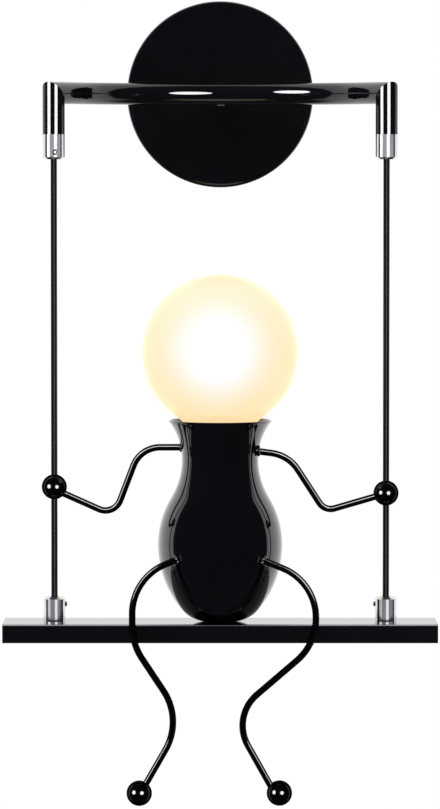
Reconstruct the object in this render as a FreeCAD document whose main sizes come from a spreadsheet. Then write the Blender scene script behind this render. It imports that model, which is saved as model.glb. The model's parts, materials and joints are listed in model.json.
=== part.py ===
import FreeCAD, Part
import math
import os
import Sketcher

from FreeCAD import Placement, Rotation, Vector

# A wall lamp: a little figure sits on a swing that hangs from a level bow of tube.
# Millimetres. X runs along the wall, Z is up and the room is towards -Y. The origin is
# the centre of the canopy's back, so the wall is the plane Y = 0.

doc = FreeCAD.newDocument("wall_lamp")
sheet = doc.addObject("Spreadsheet::Sheet", "sizes")

SIZES = [
    # Canopy and wall bracket
    ("canopy_diameter", 117.0, "canopy, outside"),
    ("canopy_depth", 25.0, "wall to the canopy's front"),
    ("canopy_wall", 1.2, "sheet of the canopy"),
    ("canopy_edge", 3.0, "radius of the canopy's front edge"),
    ("bracket_width", 22.0, "strap of the wall bracket"),
    ("bracket_sheet", 1.5, "sheet of the wall bracket"),
    ("bracket_bend", 1.3, "outer radius of the strap's bends"),
    ("bracket_tab", 15.0, "height of the bent ends over the wall"),
    ("bracket_gap", 1.2, "bent end to the canopy's inside, at the strap's corners"),
    ("wall_slot_spacing", 84.0, "between the two wall screws"),
    ("wall_slot_width", 4.8, "slot for a wall screw"),
    ("wall_slot_length", 10.0, "slot end to end"),
    ("wire_hole", 14.0, "hole for the house wires"),
    ("side_screw_thread", 4.0, "screws of canopy and earth"),
    ("side_screw_height", 9.0, "side screws over the wall"),
    ("side_screw_length", 8.0, "under the head"),
    ("screw_head_ratio", 1.8, "head over thread diameter"),
    ("screw_head_height", 2.0, "pan head"),
    ("screw_slot", 1.0, "width of the driver slot"),
    ("earth_screw_offset", 17.0, "earth screw from the middle"),
    ("hole_clearance", 0.15, "radial play of a screw in a plain hole"),
    ("thread_fit", 0.02, "radial play left between threads"),
    # Boss, threaded nipples and nuts
    ("boss_flange", 23.0, "round foot of the boss on the canopy"),
    ("boss_flange_height", 4.0, "thickness of that foot"),
    ("boss_neck", 12.0, "boss behind the tube"),
    ("boss_reach", 18.0, "canopy front to the tube's axis"),
    ("nipple_diameter", 10.0, "threaded tube"),
    ("nipple_bore", 7.5, "wire way"),
    ("nipple_in_boss", 8.0, "thread length in the boss"),
    ("nipple_stick_out", 1.5, "thread past a nut"),
    ("nut_flats", 14.0, "nipple nut across flats"),
    ("nut_height", 3.0, "nipple nut"),
    ("washer_diameter", 17.0, "nipple washer"),
    ("washer_height", 1.0, "nipple washer"),
    # Bow of tube and its drop sleeves
    ("tube_diameter", 13.5, "bow tube and sleeves, outside"),
    ("tube_wall", 1.2, "wall of that tube"),
    ("bow_radius", 98.0, "bend of the tube's axis"),
    ("bow_angle", 62.0, "degrees turned from the middle to each end"),
    ("cord_half_span", 101.4, "middle plane to a cord"),
    ("sleeve_drop", 25.2, "tube axis to the sleeve's lower end"),
    # Cord grips and cords
    ("grip_length", 15.2, "cord grip, end to end"),
    ("grip_chamfer", 1.4, "at the cord's end of a grip"),
    ("grip_spigot", 6.0, "length in the sleeve or seat"),
    ("lower_spigot_diameter", 8.0, "threaded end in the seat"),
    ("grip_bore_play", 0.3, "radial play of the cord in a grip"),
    ("mouth_height", 2.0, "flared mouth for the cord"),
    ("pivot_sink", 0.6, "cord's bending point under the mouth's inner end"),
    ("mouth_angle", 36.0, "half angle of the flared mouth"),
    ("grip_screw_thread", 3.0, "set screw of a grip"),
    ("grip_screw_inset", 4.4, "set screw to the grip's cord end"),
    ("grip_screw_proud", 1.0, "screw standing out of the grip"),
    ("grip_socket_flats", 1.5, "hex socket of that screw"),
    ("grip_socket_depth", 1.2, "hex socket of that screw"),
    ("grip_nut_flats", 12.0, "nut of a lower grip across flats"),
    ("grip_nut_height", 2.5, "nut of a lower grip"),
    ("grip_thread_past_nut", 1.0, "lower grip's thread past its nut"),
    ("upper_screw_turn", 8.0, "left upper screw from the front, degrees"),
    ("cord_diameter", 3.9, "round cord"),
    ("cord_length", 267.2, "cord seen between its grips"),
    ("cord_gap", 0.3, "hanging cord to its fixed tail at the pivot"),
    ("tail_length", 27.0, "fixed tail above the pivot"),
    # Wires
    ("lead_diameter", 2.0, "single insulated wire"),
    ("lead_half_pitch", 1.6, "middle plane to a wire in a nipple"),
    ("lead_bend", 3.5, "bend radius of a wire in the seat"),
    ("block_lead_bend", 5.0, "bend radius of a wire in the canopy"),
    ("lead_level", 3.1, "between the two wires at the terminal block"),
    ("lead_floor_gap", 0.7, "wire to the seat's inner bottom"),
    # Terminal block
    ("block_length", 22.0, "terminal block along the wall"),
    ("block_width", 14.0, "terminal block, upright"),
    ("block_height", 11.0, "terminal block over the bracket"),
    ("block_offset", 23.0, "its centre from the middle"),
    ("block_edge", 1.0, "chamfer of the block's front"),
    ("clamp_screw_diameter", 3.0, "clamp screw of the block"),
    ("clamp_screw_pitch", 7.0, "between clamp screws"),
    ("clamp_screw_length", 4.0, "clamp screw in its well"),
    ("clamp_screw_sunk", 1.0, "clamp screw under the block's front"),
    ("clamp_well_play", 0.4, "radial play of a clamp screw's well"),
    # Seat
    ("seat_overhang", 31.1, "cord to the seat's end"),
    ("seat_depth", 45.0, "seat front to back"),
    ("seat_height", 11.5, "seat top to bottom"),
    ("seat_wall", 1.2, "wall of the seat tube"),
    ("seat_edge", 1.4, "radius of its long edges"),
    ("end_plate", 1.5, "plate in each end"),
    ("end_inset", 0.5, "plate behind the end"),
    ("access_hole", 17.0, "hole under the seat for the nut"),
    # Figure's body
    ("body_height", 123.0, "seat to the lip"),
    ("body_wall", 1.0, "sheet of the body"),
    ("neck_radius", 23.4, "narrowest"),
    ("lip_rise", 23.8, "neck to the lip"),
    ("neck_curve", 44.0, "hollow curve below the neck"),
    ("lip_curve", 38.0, "hollow curve from neck to lip"),
    ("belly_radius", 38.2, "widest"),
    ("belly_height", 47.2, "seat to the widest place"),
    ("belly_curve", 62.0, "curve below the widest place"),
    ("foot_curve", 20.0, "curve round to the flat bottom"),
    # Lampholder
    ("holder_lift", 50.8, "seat to the lampholder"),
    ("holder_diameter", 38.0, "lampholder, outside"),
    ("holder_height", 50.0, "lampholder, end to end"),
    ("holder_base", 4.0, "bottom of the housing"),
    ("holder_wall", 2.4, "wall beside the insert"),
    ("holder_ledge", 6.0, "wire space under the insert"),
    ("ledge_width", 2.5, "ledge that carries the insert"),
    ("holder_edge", 3.0, "rounded bottom edge"),
    ("insert_height", 8.0, "ceramic insert"),
    ("holder_sleeve_height", 26.0, "screw sleeve"),
    ("holder_sleeve_wall", 0.5, "sheet of the screw sleeve"),
    ("contact_diameter", 5.0, "centre contact"),
    ("contact_foot", 9.0, "centre contact on the insert"),
    ("contact_height", 5.2, "centre contact over the insert"),
    # Bulb
    ("bulb_play", 0.3, "bulb cap to the lampholder, radial and at the tip"),
    ("cap_diameter", 26.0, "screw cap"),
    ("cap_wall", 0.6, "sheet of the cap"),
    ("cap_height", 20.5, "screw cap, without its insulator"),
    ("cap_opening", 18.2, "opening in the cap's bottom"),
    ("insulator_height", 4.5, "insulator between cap and tip"),
    ("insulator_diameter", 23.4, "insulator where it meets the cap"),
    ("tip_diameter", 9.5, "tip contact"),
    ("tip_height", 1.5, "tip contact"),
    ("globe_diameter", 95.0, "opal globe"),
    ("globe_wall", 1.0, "glass"),
    ("globe_neck_height", 4.7, "cap's rim to the neck's hollow curve"),
    ("globe_neck_radius", 16.0, "glass neck"),
    ("globe_neck_curve", 24.0, "hollow curve from neck to globe"),
    ("post_radius", 9.0, "post under the light board"),
    ("post_height", 24.0, "post above the cap's rim"),
    ("board_diameter", 28.0, "light board"),
    ("board_height", 1.6, "light board"),
    # Limbs: round rod bent in an upright plane, ending in balls
    ("rod_diameter", 4.1, "arms and legs"),
    ("hand_diameter", 15.4, "hand balls"),
    ("foot_diameter", 15.5, "foot balls"),
    ("hand_play", 0.1, "radial play of a hand ball on its cord"),
    ("arm_in_neck", 5.0, "arm's line past the neck's outside, cut away by the body"),
    ("left_hand_height", 82.4, "seat to the hand ball's centre"),
    ("left_wrist_drop", 17.8, "hand to the low bend"),
    ("left_wrist_out", 36.6, "cord to the low bend"),
    ("left_wrist_curve", 9.6, "radius of the low bend"),
    ("left_elbow_rise", 24.2, "hand to the high bend"),
    ("left_elbow_out", 52.7, "cord to the high bend"),
    ("left_elbow_curve", 17.4, "radius of the high bend"),
    ("left_shoulder_rise", 24.2, "hand to the shoulder"),
    ("right_hand_height", 78.6, "seat to the hand ball's centre"),
    ("right_wrist_drop", 10.9, "hand to the low bend"),
    ("right_wrist_out", 37.6, "cord to the low bend"),
    ("right_wrist_curve", 8.3, "radius of the low bend"),
    ("right_elbow_rise", 23.4, "hand to the high bend"),
    ("right_elbow_out", 59.9, "cord to the high bend"),
    ("right_elbow_curve", 23.1, "radius of the high bend"),
    ("right_shoulder_rise", 26.6, "hand to the shoulder"),
    ("right_arm_turn", 5.0, "arm's plane turned to the front, degrees"),
    ("leg_gap", 2.5, "seat's front to a leg"),
    ("left_hip_out", 19.3, "middle to the leg's line inside the body"),
    ("left_hip_height", 43.1, "seat to the same place"),
    ("left_knee_out", 53.4, "middle to the left knee"),
    ("left_knee_height", 28.6, "upper bend over the seat"),
    ("left_knee_curve", 32.6, "radius of the upper bend"),
    ("left_calf_drop", 11.2, "second bend under the seat's top"),
    ("left_calf_curve", 36.2, "radius of the second bend"),
    ("left_ankle_out", 22.7, "middle to the low bend"),
    ("left_ankle_drop", 57.6, "low bend under the seat's top"),
    ("left_ankle_curve", 34.4, "radius of the low bend"),
    ("left_foot_out", 49.2, "middle to the foot ball"),
    ("left_foot_drop", 102.4, "foot ball under the seat's top"),
    ("right_hip_out", 21.6, "middle to the leg's line inside the body"),
    ("right_hip_height", 41.4, "seat to the same place"),
    ("right_knee_out", 58.1, "middle to the right knee"),
    ("right_knee_height", 26.5, "upper bend over the seat"),
    ("right_knee_curve", 32.3, "radius of the upper bend"),
    ("right_calf_drop", 11.5, "second bend under the seat's top"),
    ("right_calf_curve", 33.2, "radius of the second bend"),
    ("right_ankle_out", 6.9, "middle to the low bend"),
    ("right_ankle_drop", 55.5, "low bend under the seat's top"),
    ("right_ankle_curve", 24.8, "radius of the low bend"),
    ("right_foot_out", 36.0, "middle to the foot ball"),
    ("right_foot_drop", 102.3, "foot ball under the seat's top"),
    ("left_hand_aim_in", 2.5, "hand's centre to the arm's line, inwards"),
    ("left_hand_aim_drop", 2.6, "hand's centre to the arm's line, down"),
    ("right_hand_aim_in", 1.5, "hand's centre to the arm's line, inwards"),
    ("right_hand_aim_drop", 0.7, "hand's centre to the arm's line, down"),
    ("left_foot_aim_in", 2.0, "foot's centre to the leg's line, inwards"),
    ("left_foot_aim_rise", 2.2, "foot's centre to the leg's line, up"),
    ("right_foot_aim_in", 3.6, "foot's centre to the leg's line, inwards"),
    ("right_foot_aim_rise", 1.3, "foot's centre to the leg's line, up"),
]

for row, (alias, number, meaning) in enumerate(SIZES, start=1):
    sheet.set("A%d" % row, meaning)
    sheet.set("B%d" % row, str(number))
    sheet.setAlias("B%d" % row, alias)
doc.recompute()
ALIASES = {alias for alias, number, meaning in SIZES}

# Places that several pieces share, as formulas on the sheet

CANOPY_FRONT = "canopy_depth"
BOW_FRONT = "(canopy_depth + boss_reach)"
BOW_CORNER = "(cord_half_span * tan(bow_angle))"
BOW_REACH = "(%s - bow_radius * (1 / cos(bow_angle) - 1))" % BOW_CORNER
SWING_Y = "(0 - %s - %s)" % (BOW_FRONT, BOW_REACH)
SLEEVE_END = "(0 - sleeve_drop)"
UPPER_GRIP_END = "(0 - sleeve_drop - grip_length)"
PIVOT_Z = "(%s + mouth_height - pivot_sink)" % UPPER_GRIP_END
LOWER_GRIP_TOP = "(%s - cord_length)" % UPPER_GRIP_END
SEAT_Z = "(%s - grip_length)" % LOWER_GRIP_TOP
SEAT_LENGTH = "(2 * (cord_half_span + seat_overhang))"
NECK_HEIGHT = "(body_height - lip_rise)"
INSERT_Z = "(%s + holder_lift + holder_base + holder_ledge)" % SEAT_Z
SLEEVE_Z = "(%s + insert_height)" % INSERT_Z
TIP_Z = "(%s + contact_height + bulb_play)" % SLEEVE_Z
LEG_Y = "(%s - seat_depth / 2 - leg_gap - rod_diameter / 2)" % SWING_Y

WORD = set("abcdefghijklmnopqrstuvwxyz_")


def on_sheet(formula):
    """Write each size in a formula as a reference to its cell."""
    out = []
    word = ""
    for letter in str(formula) + " ":
        if letter in WORD:
            word += letter
            continue
        out.append("sizes." + word if word in ALIASES else word)
        out.append(letter)
        word = ""
    return "".join(out).strip()


def number(formula):
    return float(sheet.evalExpression(on_sheet(formula)))


def bind(obj, **formulas):
    for prop, formula in formulas.items():
        obj.setExpression(prop, on_sheet(formula))


UPRIGHT = Rotation()
TO_FRONT = Rotation(Vector(1, 0, 0), 90)
TO_WALL = Rotation(Vector(1, 0, 0), -90)
TO_RIGHT = Rotation(Vector(0, 1, 0), 90)
TO_LEFT = Rotation(Vector(0, 1, 0), -90)
UPSIDE_DOWN = Rotation(Vector(1, 0, 0), 180)


def place(obj, x="0", y="0", z="0", turn=UPRIGHT):
    obj.Placement = Placement(Vector(number(x), number(y), number(z)), turn)
    for axis, formula in (("x", x), ("y", y), ("z", z)):
        obj.setExpression("Placement.Base." + axis, on_sheet(formula))
    return obj


# Plain solids, bound to the sheet

def cylinder(name, diameter, height, x="0", y="0", z="0", turn=UPRIGHT):
    obj = doc.addObject("Part::Cylinder", name)
    bind(obj, Radius="(%s) / 2" % diameter, Height=height)
    return place(obj, x, y, z, turn)


def cone(name, lower, upper, height, x="0", y="0", z="0", turn=UPRIGHT):
    obj = doc.addObject("Part::Cone", name)
    bind(obj, Radius1="(%s) / 2" % lower, Radius2="(%s) / 2" % upper, Height=height)
    return place(obj, x, y, z, turn)


def sphere(name, diameter, x="0", y="0", z="0"):
    obj = doc.addObject("Part::Sphere", name)
    bind(obj, Radius="(%s) / 2" % diameter)
    return place(obj, x, y, z)


def block(name, length, width, height, x="0", y="0", z="0", turn=UPRIGHT):
    """A box whose corner of least x, y and z, before it is turned, is at the place given."""
    obj = doc.addObject("Part::Box", name)
    bind(obj, Length=length, Width=width, Height=height)
    return place(obj, x, y, z, turn)


def hexagon(name, flats, height, x="0", y="0", z="0", turn=UPRIGHT):
    obj = doc.addObject("Part::Prism", name)
    obj.Polygon = 6
    bind(obj, Circumradius="(%s) / 2 / cos(30)" % flats, Height=height)
    return place(obj, x, y, z, turn)


def cut(name, base, *tools):
    for count, tool in enumerate(tools, start=1):
        obj = doc.addObject("Part::Cut", name if count == len(tools) else "%s_cut%d" % (name, count))
        obj.Base = base
        obj.Tool = tool
        base = obj
    return base


def fuse(name, *parts):
    obj = doc.addObject("Part::MultiFuse", name)
    obj.Shapes = list(parts)
    obj.Refine = True
    return obj


# Bodies with sketches

class Sketch:
    """A sketch on one of its body's own planes, with its constraints bound to the sheet."""

    def __init__(self, body, plane, name):
        origin = body.Origin.OriginFeatures
        self.obj = body.newObject("Sketcher::SketchObject", name)
        self.obj.AttachmentSupport = ([face for face in origin if face.Role == plane][0], [""])
        self.obj.MapMode = "FlatFace"

    def rule(self, kind, *args, formula=None):
        if formula is None:
            return self.obj.addConstraint(Sketcher.Constraint(kind, *args))
        index = self.obj.addConstraint(Sketcher.Constraint(kind, *args, number(formula)))
        self.obj.setExpression("Constraints[%d]" % index, on_sheet(formula))
        return index

    def pin(self, geometry, point, x, y):
        """Hold a point at formulas x and y from the sketch's origin."""
        for kind, axis, formula in (("DistanceX", -2, x), ("DistanceY", -1, y)):
            if abs(number(formula)) < 1e-9:
                self.rule("PointOnObject", geometry, point, axis)
            else:
                self.rule(kind, -1, 1, geometry, point, formula=formula)

    def line(self, start, end):
        ends = [Vector(point[0], point[1], 0) for point in (start, end)]
        return self.obj.addGeometry(Part.LineSegment(*ends), False)

    def arc(self, centre, radius, start, end):
        """An arc that runs anticlockwise from start to end; returns its number."""
        angles = [math.atan2(p[1] - centre[1], p[0] - centre[0]) for p in (start, end)]
        if angles[1] < angles[0]:
            angles[1] += 2 * math.pi
        circle = Part.Circle(Vector(centre[0], centre[1], 0), Vector(0, 0, 1), radius)
        return self.obj.addGeometry(Part.ArcOfCircle(circle, *angles), False)

    def circle(self, diameter, x="0", y="0"):
        place_now = Vector(number(x), number(y), 0)
        radius = "(%s) / 2" % diameter
        index = self.obj.addGeometry(Part.Circle(place_now, Vector(0, 0, 1), number(radius)), False)
        if abs(place_now.x) < 1e-9 and abs(place_now.y) < 1e-9:
            self.rule("Coincident", index, 3, -1, 1)
        else:
            self.pin(index, 3, x, y)
        self.rule("Radius", index, formula=radius)
        return index

    def polygon(self, corners):
        """A closed outline through corners given as pairs of formulas."""
        points = [(number(x), number(y)) for x, y in corners]
        lines = [self.line(a, b) for a, b in zip(points, points[1:] + points[:1])]
        for this, after in zip(lines, lines[1:] + lines[:1]):
            self.rule("Coincident", this, 2, after, 1)
        for index, (x, y) in zip(lines, corners):
            self.pin(index, 1, x, y)
        return lines

    def slot(self, length, width, x, y="0"):
        """A slot along X, from end to end length."""
        reach = "((%s) - (%s)) / 2" % (length, width)
        half = number(width) / 2
        low, high = number(y) - half, number(y) + half
        left, right = [number("%s %s %s" % (x, sign, reach)) for sign in "-+"]
        bottom = self.line((left, low), (right, low))
        right_arc = self.arc((right, number(y)), half, (right, low), (right, high))
        top = self.line((right, high), (left, high))
        left_arc = self.arc((left, number(y)), half, (left, high), (left, low))
        parts = [bottom, right_arc, top, left_arc]
        for this, after in zip(parts, parts[1:] + parts[:1]):
            self.rule("Tangent", this, 2, after, 1)
        self.pin(right_arc, 3, "%s + %s" % (x, reach), y)
        self.pin(left_arc, 3, "%s - %s" % (x, reach), y)
        self.rule("Radius", right_arc, formula="(%s) / 2" % width)
        self.rule("Equal", right_arc, left_arc)

    def rectangle(self, width, height, x="0", y="0"):
        left, right = ["%s %s (%s) / 2" % (x, sign, width) for sign in "-+"]
        low, high = ["%s %s (%s) / 2" % (y, sign, height) for sign in "-+"]
        return self.polygon([(left, low), (right, low), (right, high), (left, high)])


def new_body(name):
    return doc.addObject("PartDesign::Body", name)


def revolve(body, sketch, name):
    feature = body.newObject("PartDesign::Revolution", name)
    feature.Profile = sketch.obj
    feature.ReferenceAxis = (sketch.obj, ["V_Axis"])
    feature.Angle = 360
    return feature


def pad(body, sketch, name, length, both_ways=False):
    feature = body.newObject("PartDesign::Pad", name)
    feature.Profile = sketch.obj
    feature.SideType = "Symmetric" if both_ways else "One side"
    bind(feature, Length=length)
    return feature


def pocket(body, sketch, name, length=None, both_ways=False, reverse=False):
    """Cut to a length, or through all; the volume has to drop."""
    doc.recompute()
    before = body.Shape.Volume
    feature = body.newObject("PartDesign::Pocket", name)
    feature.Profile = sketch.obj
    feature.SideType = "Symmetric" if both_ways else "One side"
    feature.Reversed = reverse
    if length is None:
        feature.Type = "ThroughAll"
    else:
        bind(feature, Length=length)
    doc.recompute()
    if body.Shape.Volume > before - 1e-6:
        raise RuntimeError(name + " cuts nothing")
    return feature


def edges_where(shape, test):
    return ["Edge%d" % (i + 1) for i, edge in enumerate(shape.Edges) if test(edge)]


def dress(body, kind, name, test, **formulas):
    """A fillet or chamfer on the edges of the tip that pass a test."""
    doc.recompute()
    tip = body.Tip
    names = edges_where(tip.Shape, test)
    if not names:
        raise RuntimeError(name + " finds no edge")
    feature = body.newObject("PartDesign::" + kind, name)
    feature.Base = (tip, names)
    bind(feature, **formulas)
    return feature


def turned(name, corners):
    """A body turned about its own Z from a straight-sided profile."""
    body = new_body(name)
    sketch = Sketch(body, "XZ_Plane", name + "_profile")
    sketch.polygon(corners)
    revolve(body, sketch, name + "_turn")
    return body


def tube_profile(outside, inside, height):
    return [("(%s) / 2" % inside, "0"), ("(%s) / 2" % outside, "0"),
            ("(%s) / 2" % outside, height), ("(%s) / 2" % inside, height)]


def bent_rod(name, plane, points, radii, diameter, bore=None):
    """A round rod or tube along straight runs joined by tangent arcs.

    points are pairs of formulas: the start, each corner and the end. The first run's
    direction sets the section's plane.
    """
    body = new_body(name)
    path = Sketch(body, plane, name + "_path")
    corners = [Vector(number(x), number(y), 0) for x, y in points]
    bends = [number(radius) for radius in radii]
    tangents = []
    for before, corner, after, bend in zip(corners, corners[1:], corners[2:], bends):
        into = (corner - before).normalize()
        out = (after - corner).normalize()
        turn = into.getAngle(out)
        reach = bend * math.tan(turn / 2)
        side = (out - into).normalize()
        centre = corner + side * (bend / math.cos(turn / 2))
        left = into.cross(out).z > 0
        tangents.append((corner - into * reach, corner + out * reach, centre, left))
    starts = [corners[0]] + [tangent[1] for tangent in tangents]
    ends = [tangent[0] for tangent in tangents] + [corners[-1]]
    lines = [path.line(a, b) for a, b in zip(starts, ends)]
    for index, (start, end, centre, left) in enumerate(tangents):
        arc = path.arc(centre, bends[index], *((start, end) if left else (end, start)))
        first, last = (1, 2) if left else (2, 1)
        path.rule("Tangent", lines[index], 2, arc, first)
        path.rule("Tangent", arc, last, lines[index + 1], 1)
        path.rule("Radius", arc, formula=radii[index])
        mark = path.obj.addGeometry(Part.Point(corners[index + 1]), True)
        path.pin(mark, 1, *points[index + 1])
        path.rule("PointOnObject", mark, 1, lines[index])
        path.rule("PointOnObject", mark, 1, lines[index + 1])
    path.pin(lines[0], 1, *points[0])
    path.pin(lines[-1], 2, *points[-1])

    heading = (corners[1] - corners[0]).normalize()
    section = Sketch(body, plane, name + "_section")
    across = Rotation(Vector(0, 0, 1), heading)
    section.obj.AttachmentOffset = Placement(corners[0], across)
    for axis, formula in zip("xy", points[0]):
        section.obj.setExpression("AttachmentOffset.Base." + axis, on_sheet(formula))
    section.circle(diameter)
    if bore is not None:
        section.circle(bore)
    sweep = body.newObject("PartDesign::AdditivePipe", name + "_sweep")
    sweep.Profile = section.obj
    sweep.Spine = path.obj
    doc.recompute()
    length = sum((b - a).Length for a, b in zip(starts, ends))
    for index, (start, end, centre, left) in enumerate(tangents):
        length += bends[index] * (start - centre).getAngle(end - centre)
    area = math.pi * (number(diameter) ** 2 - (number(bore) ** 2 if bore else 0)) / 4
    if abs(body.Shape.Volume / (area * length) - 1) > 0.01:
        raise RuntimeError(name + " is not swept whole")
    return body


SIDES = (("left", -1), ("right", 1))
NODES = []


def keep(node, obj):
    """Name a finished sub-part; the name is also its file's."""
    obj.Label = node
    NODES.append(obj)
    return obj


def group(node, members):
    obj = doc.addObject("Part::Compound", node + "_group")
    obj.Links = members
    return keep(node, obj)


# Wall bracket: a steel strap with bent ends, slots for wall screws and threads

INNER_RADIUS = "(canopy_diameter / 2 - canopy_wall)"
TAB_X = "(sqrt(%s ^ 2 - bracket_width ^ 2 / 4) - bracket_gap)" % INNER_RADIUS


def wall_bracket():
    body = new_body("bracket")
    strap = Sketch(body, "XZ_Plane", "strap_profile")
    inner = "(%s - bracket_sheet)" % TAB_X
    strap.polygon([
        ("0 - " + TAB_X, "0"), (TAB_X, "0"), (TAB_X, "bracket_tab"), (inner, "bracket_tab"),
        (inner, "bracket_sheet"), ("0 - " + inner, "bracket_sheet"),
        ("0 - " + inner, "bracket_tab"), ("0 - " + TAB_X, "bracket_tab"),
    ])
    pad(body, strap, "strap", "bracket_width", both_ways=True)
    reach = number(TAB_X)

    def outer_bend(edge):
        box = edge.BoundBox
        return box.ZMax < 1e-6 and abs(abs(box.XMin) - reach) < 1e-6 and box.XLength < 1e-6

    dress(body, "Fillet", "strap_bend", outer_bend, Radius="min(bracket_bend; bracket_tab / 2)")
    holes = Sketch(body, "XY_Plane", "strap_holes")
    holes.circle("wire_hole")
    holes.circle("side_screw_thread + 2 * thread_fit", "0 - earth_screw_offset")
    for side in "-+":
        holes.slot("wall_slot_length", "wall_slot_width", "0 %s wall_slot_spacing / 2" % side)
    pocket(body, holes, "strap_pocket", reverse=True)
    threads = Sketch(body, "YZ_Plane", "tab_threads")
    threads.circle("side_screw_thread + 2 * thread_fit", "0", "side_screw_height")
    pocket(body, threads, "tab_pocket", both_ways=True)
    return keep("wall_bracket", place(body, turn=TO_FRONT))


# Canopy: a pressed cup with a rounded front edge

def canopy():
    body = new_body("cup")
    cup = Sketch(body, "XZ_Plane", "cup_profile")
    outside = "canopy_diameter / 2"
    hole = "(nipple_diameter / 2 + hole_clearance)"
    inner_front = "(canopy_depth - canopy_wall)"
    cup.polygon([
        (hole, inner_front), (INNER_RADIUS, inner_front), (INNER_RADIUS, "0"),
        (outside, "0"), (outside, CANOPY_FRONT), (hole, CANOPY_FRONT),
    ])
    revolve(body, cup, "cup_turn")
    front = number(CANOPY_FRONT)
    rim = number(outside)

    def at(radius, height):
        def test(edge):
            return (isinstance(edge.Curve, Part.Circle) and abs(edge.Curve.Radius - radius) < 1e-6
                    and abs(edge.Curve.Center.z - height) < 1e-6)
        return test

    dress(body, "Fillet", "front_edge", at(rim, front), Radius="canopy_edge")
    dress(body, "Fillet", "inner_edge", at(number(INNER_RADIUS), number(inner_front)),
          Radius="max(canopy_edge - canopy_wall; canopy_wall / 4)")
    holes = Sketch(body, "YZ_Plane", "side_holes")
    holes.circle("side_screw_thread + 2 * hole_clearance", "0", "side_screw_height")
    pocket(body, holes, "side_pocket", both_ways=True)
    return keep("canopy", place(body, turn=TO_FRONT))


# Pan-head screws: origin under the head, shank down local -Z

def pan_screw(name, thread, length, x, y, z, turn):
    head_size = "%s * screw_head_ratio" % thread
    head = cylinder(name + "_head", head_size, "screw_head_height")
    shank = cylinder(name + "_shank", thread, length, z="0 - %s" % length)
    slot = block(name + "_slot", head_size + " * 2", "screw_slot", "screw_head_height",
                 "0 - %s" % head_size, "0 - screw_slot / 2", "screw_head_height / 2")
    screw = cut(name, fuse(name + "_blank", head, shank), slot)
    return place(screw, x, y, z, turn)


def canopy_screws():
    rim = "canopy_diameter / 2"
    height = "0 - side_screw_height"
    right = pan_screw("side_screw_right", "side_screw_thread", "side_screw_length",
                      rim, height, "0", TO_RIGHT)
    left = pan_screw("side_screw_left", "side_screw_thread", "side_screw_length",
                     "0 - " + rim, height, "0", TO_LEFT)
    return group("canopy_screws", [left, right])


def earth_screw():
    screw = pan_screw("earth_pan", "side_screw_thread", "bracket_sheet",
                      "0 - earth_screw_offset", "0 - bracket_sheet", "0", TO_FRONT)
    return keep("earth_screw", screw)


# Threaded nipple, nut and washer behind the canopy's front, and the boss on it

def nipple_set():
    inner_front = "(canopy_depth - canopy_wall)"
    nut_z = "(%s - washer_height - nut_height)" % inner_front
    start = "(%s - nipple_stick_out)" % nut_z
    length = "%s + nipple_in_boss - %s" % (CANOPY_FRONT, start)
    nipple = turned("nipple_turned", tube_profile("nipple_diameter", "nipple_bore", length))
    keep("canopy_nipple", place(nipple, y="0 - " + start, turn=TO_FRONT))

    washer = turned("washer_turned", tube_profile(
        "washer_diameter", "nipple_diameter + 2 * hole_clearance", "washer_height"))
    washer_y = "washer_height - " + inner_front
    keep("nipple_washer", place(washer, y=washer_y, turn=TO_FRONT))

    nut = hexagon("nut_blank", "nut_flats", "nut_height", turn=UPRIGHT)
    bore = cylinder("nut_bore", "nipple_diameter + 2 * thread_fit", "nut_height")
    keep("nipple_nut", place(cut("nut_cut", nut, bore), y="0 - " + nut_z, turn=TO_FRONT))


def bow_boss(bow_solid):
    thread = "(nipple_diameter / 2 + thread_fit)"
    step = "(%s + boss_flange_height)" % CANOPY_FRONT
    thread_end = "(%s + nipple_in_boss)" % CANOPY_FRONT
    boss = turned("boss_turned", [
        (thread, CANOPY_FRONT), ("boss_flange / 2", CANOPY_FRONT), ("boss_flange / 2", step),
        ("boss_neck / 2", step), ("boss_neck / 2", BOW_FRONT), ("nipple_bore / 2", BOW_FRONT),
        ("nipple_bore / 2", thread_end), (thread, thread_end),
    ])
    place(boss, turn=TO_FRONT)
    return keep("bow_boss", cut("boss_cut", boss, bow_solid))


# Bow: a tube bent level, its ends mitred to the drop sleeves

def mitre_tool(name, side, above):
    """A box with one face on the plane that halves the corner of bow and sleeve."""
    angle = math.radians(number("bow_angle"))
    normal = Vector(-side * math.cos(angle), math.sin(angle), 1).normalize()
    size = "4 * tube_diameter"
    turn = Rotation(Vector(0, 0, 1), normal)
    corner = Vector(side * number("cord_half_span"), number(SWING_Y), 0)
    half = number(size) / 2
    depth = 0 if above else -2 * half
    box = doc.addObject("Part::Box", name)
    bind(box, Length=size, Width=size, Height=size)
    box.Placement = Placement(corner + turn.multVec(Vector(-half, -half, depth)), turn)
    return box


def bow_points():
    """The bow's axis in the level plane, from its own middle line, past both mitres."""
    out = "(cord_half_span + tube_diameter * cos(bow_angle))"
    front = "0 - tube_diameter * sin(bow_angle)"
    return [("0 - " + out, front), ("0", BOW_CORNER), (out, front)]


def bow_tube():
    solid = place(bent_rod("bow_outline", "XY_Plane", bow_points(), ["bow_radius"], "tube_diameter"),
                  y=SWING_Y)
    pipe = place(bent_rod("bow_pipe", "XY_Plane", bow_points(), ["bow_radius"], "tube_diameter",
                          "tube_diameter - 2 * tube_wall"), y=SWING_Y)
    wire_way = cylinder("bow_wire_way", "nipple_bore", "tube_diameter",
                        y="0 - " + BOW_FRONT, turn=TO_WALL)
    mitres = [mitre_tool("bow_mitre_" + name, side, above=False) for name, side in SIDES]
    keep("bow_tube", cut("bow_cut", pipe, wire_way, *mitres))
    return solid


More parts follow.
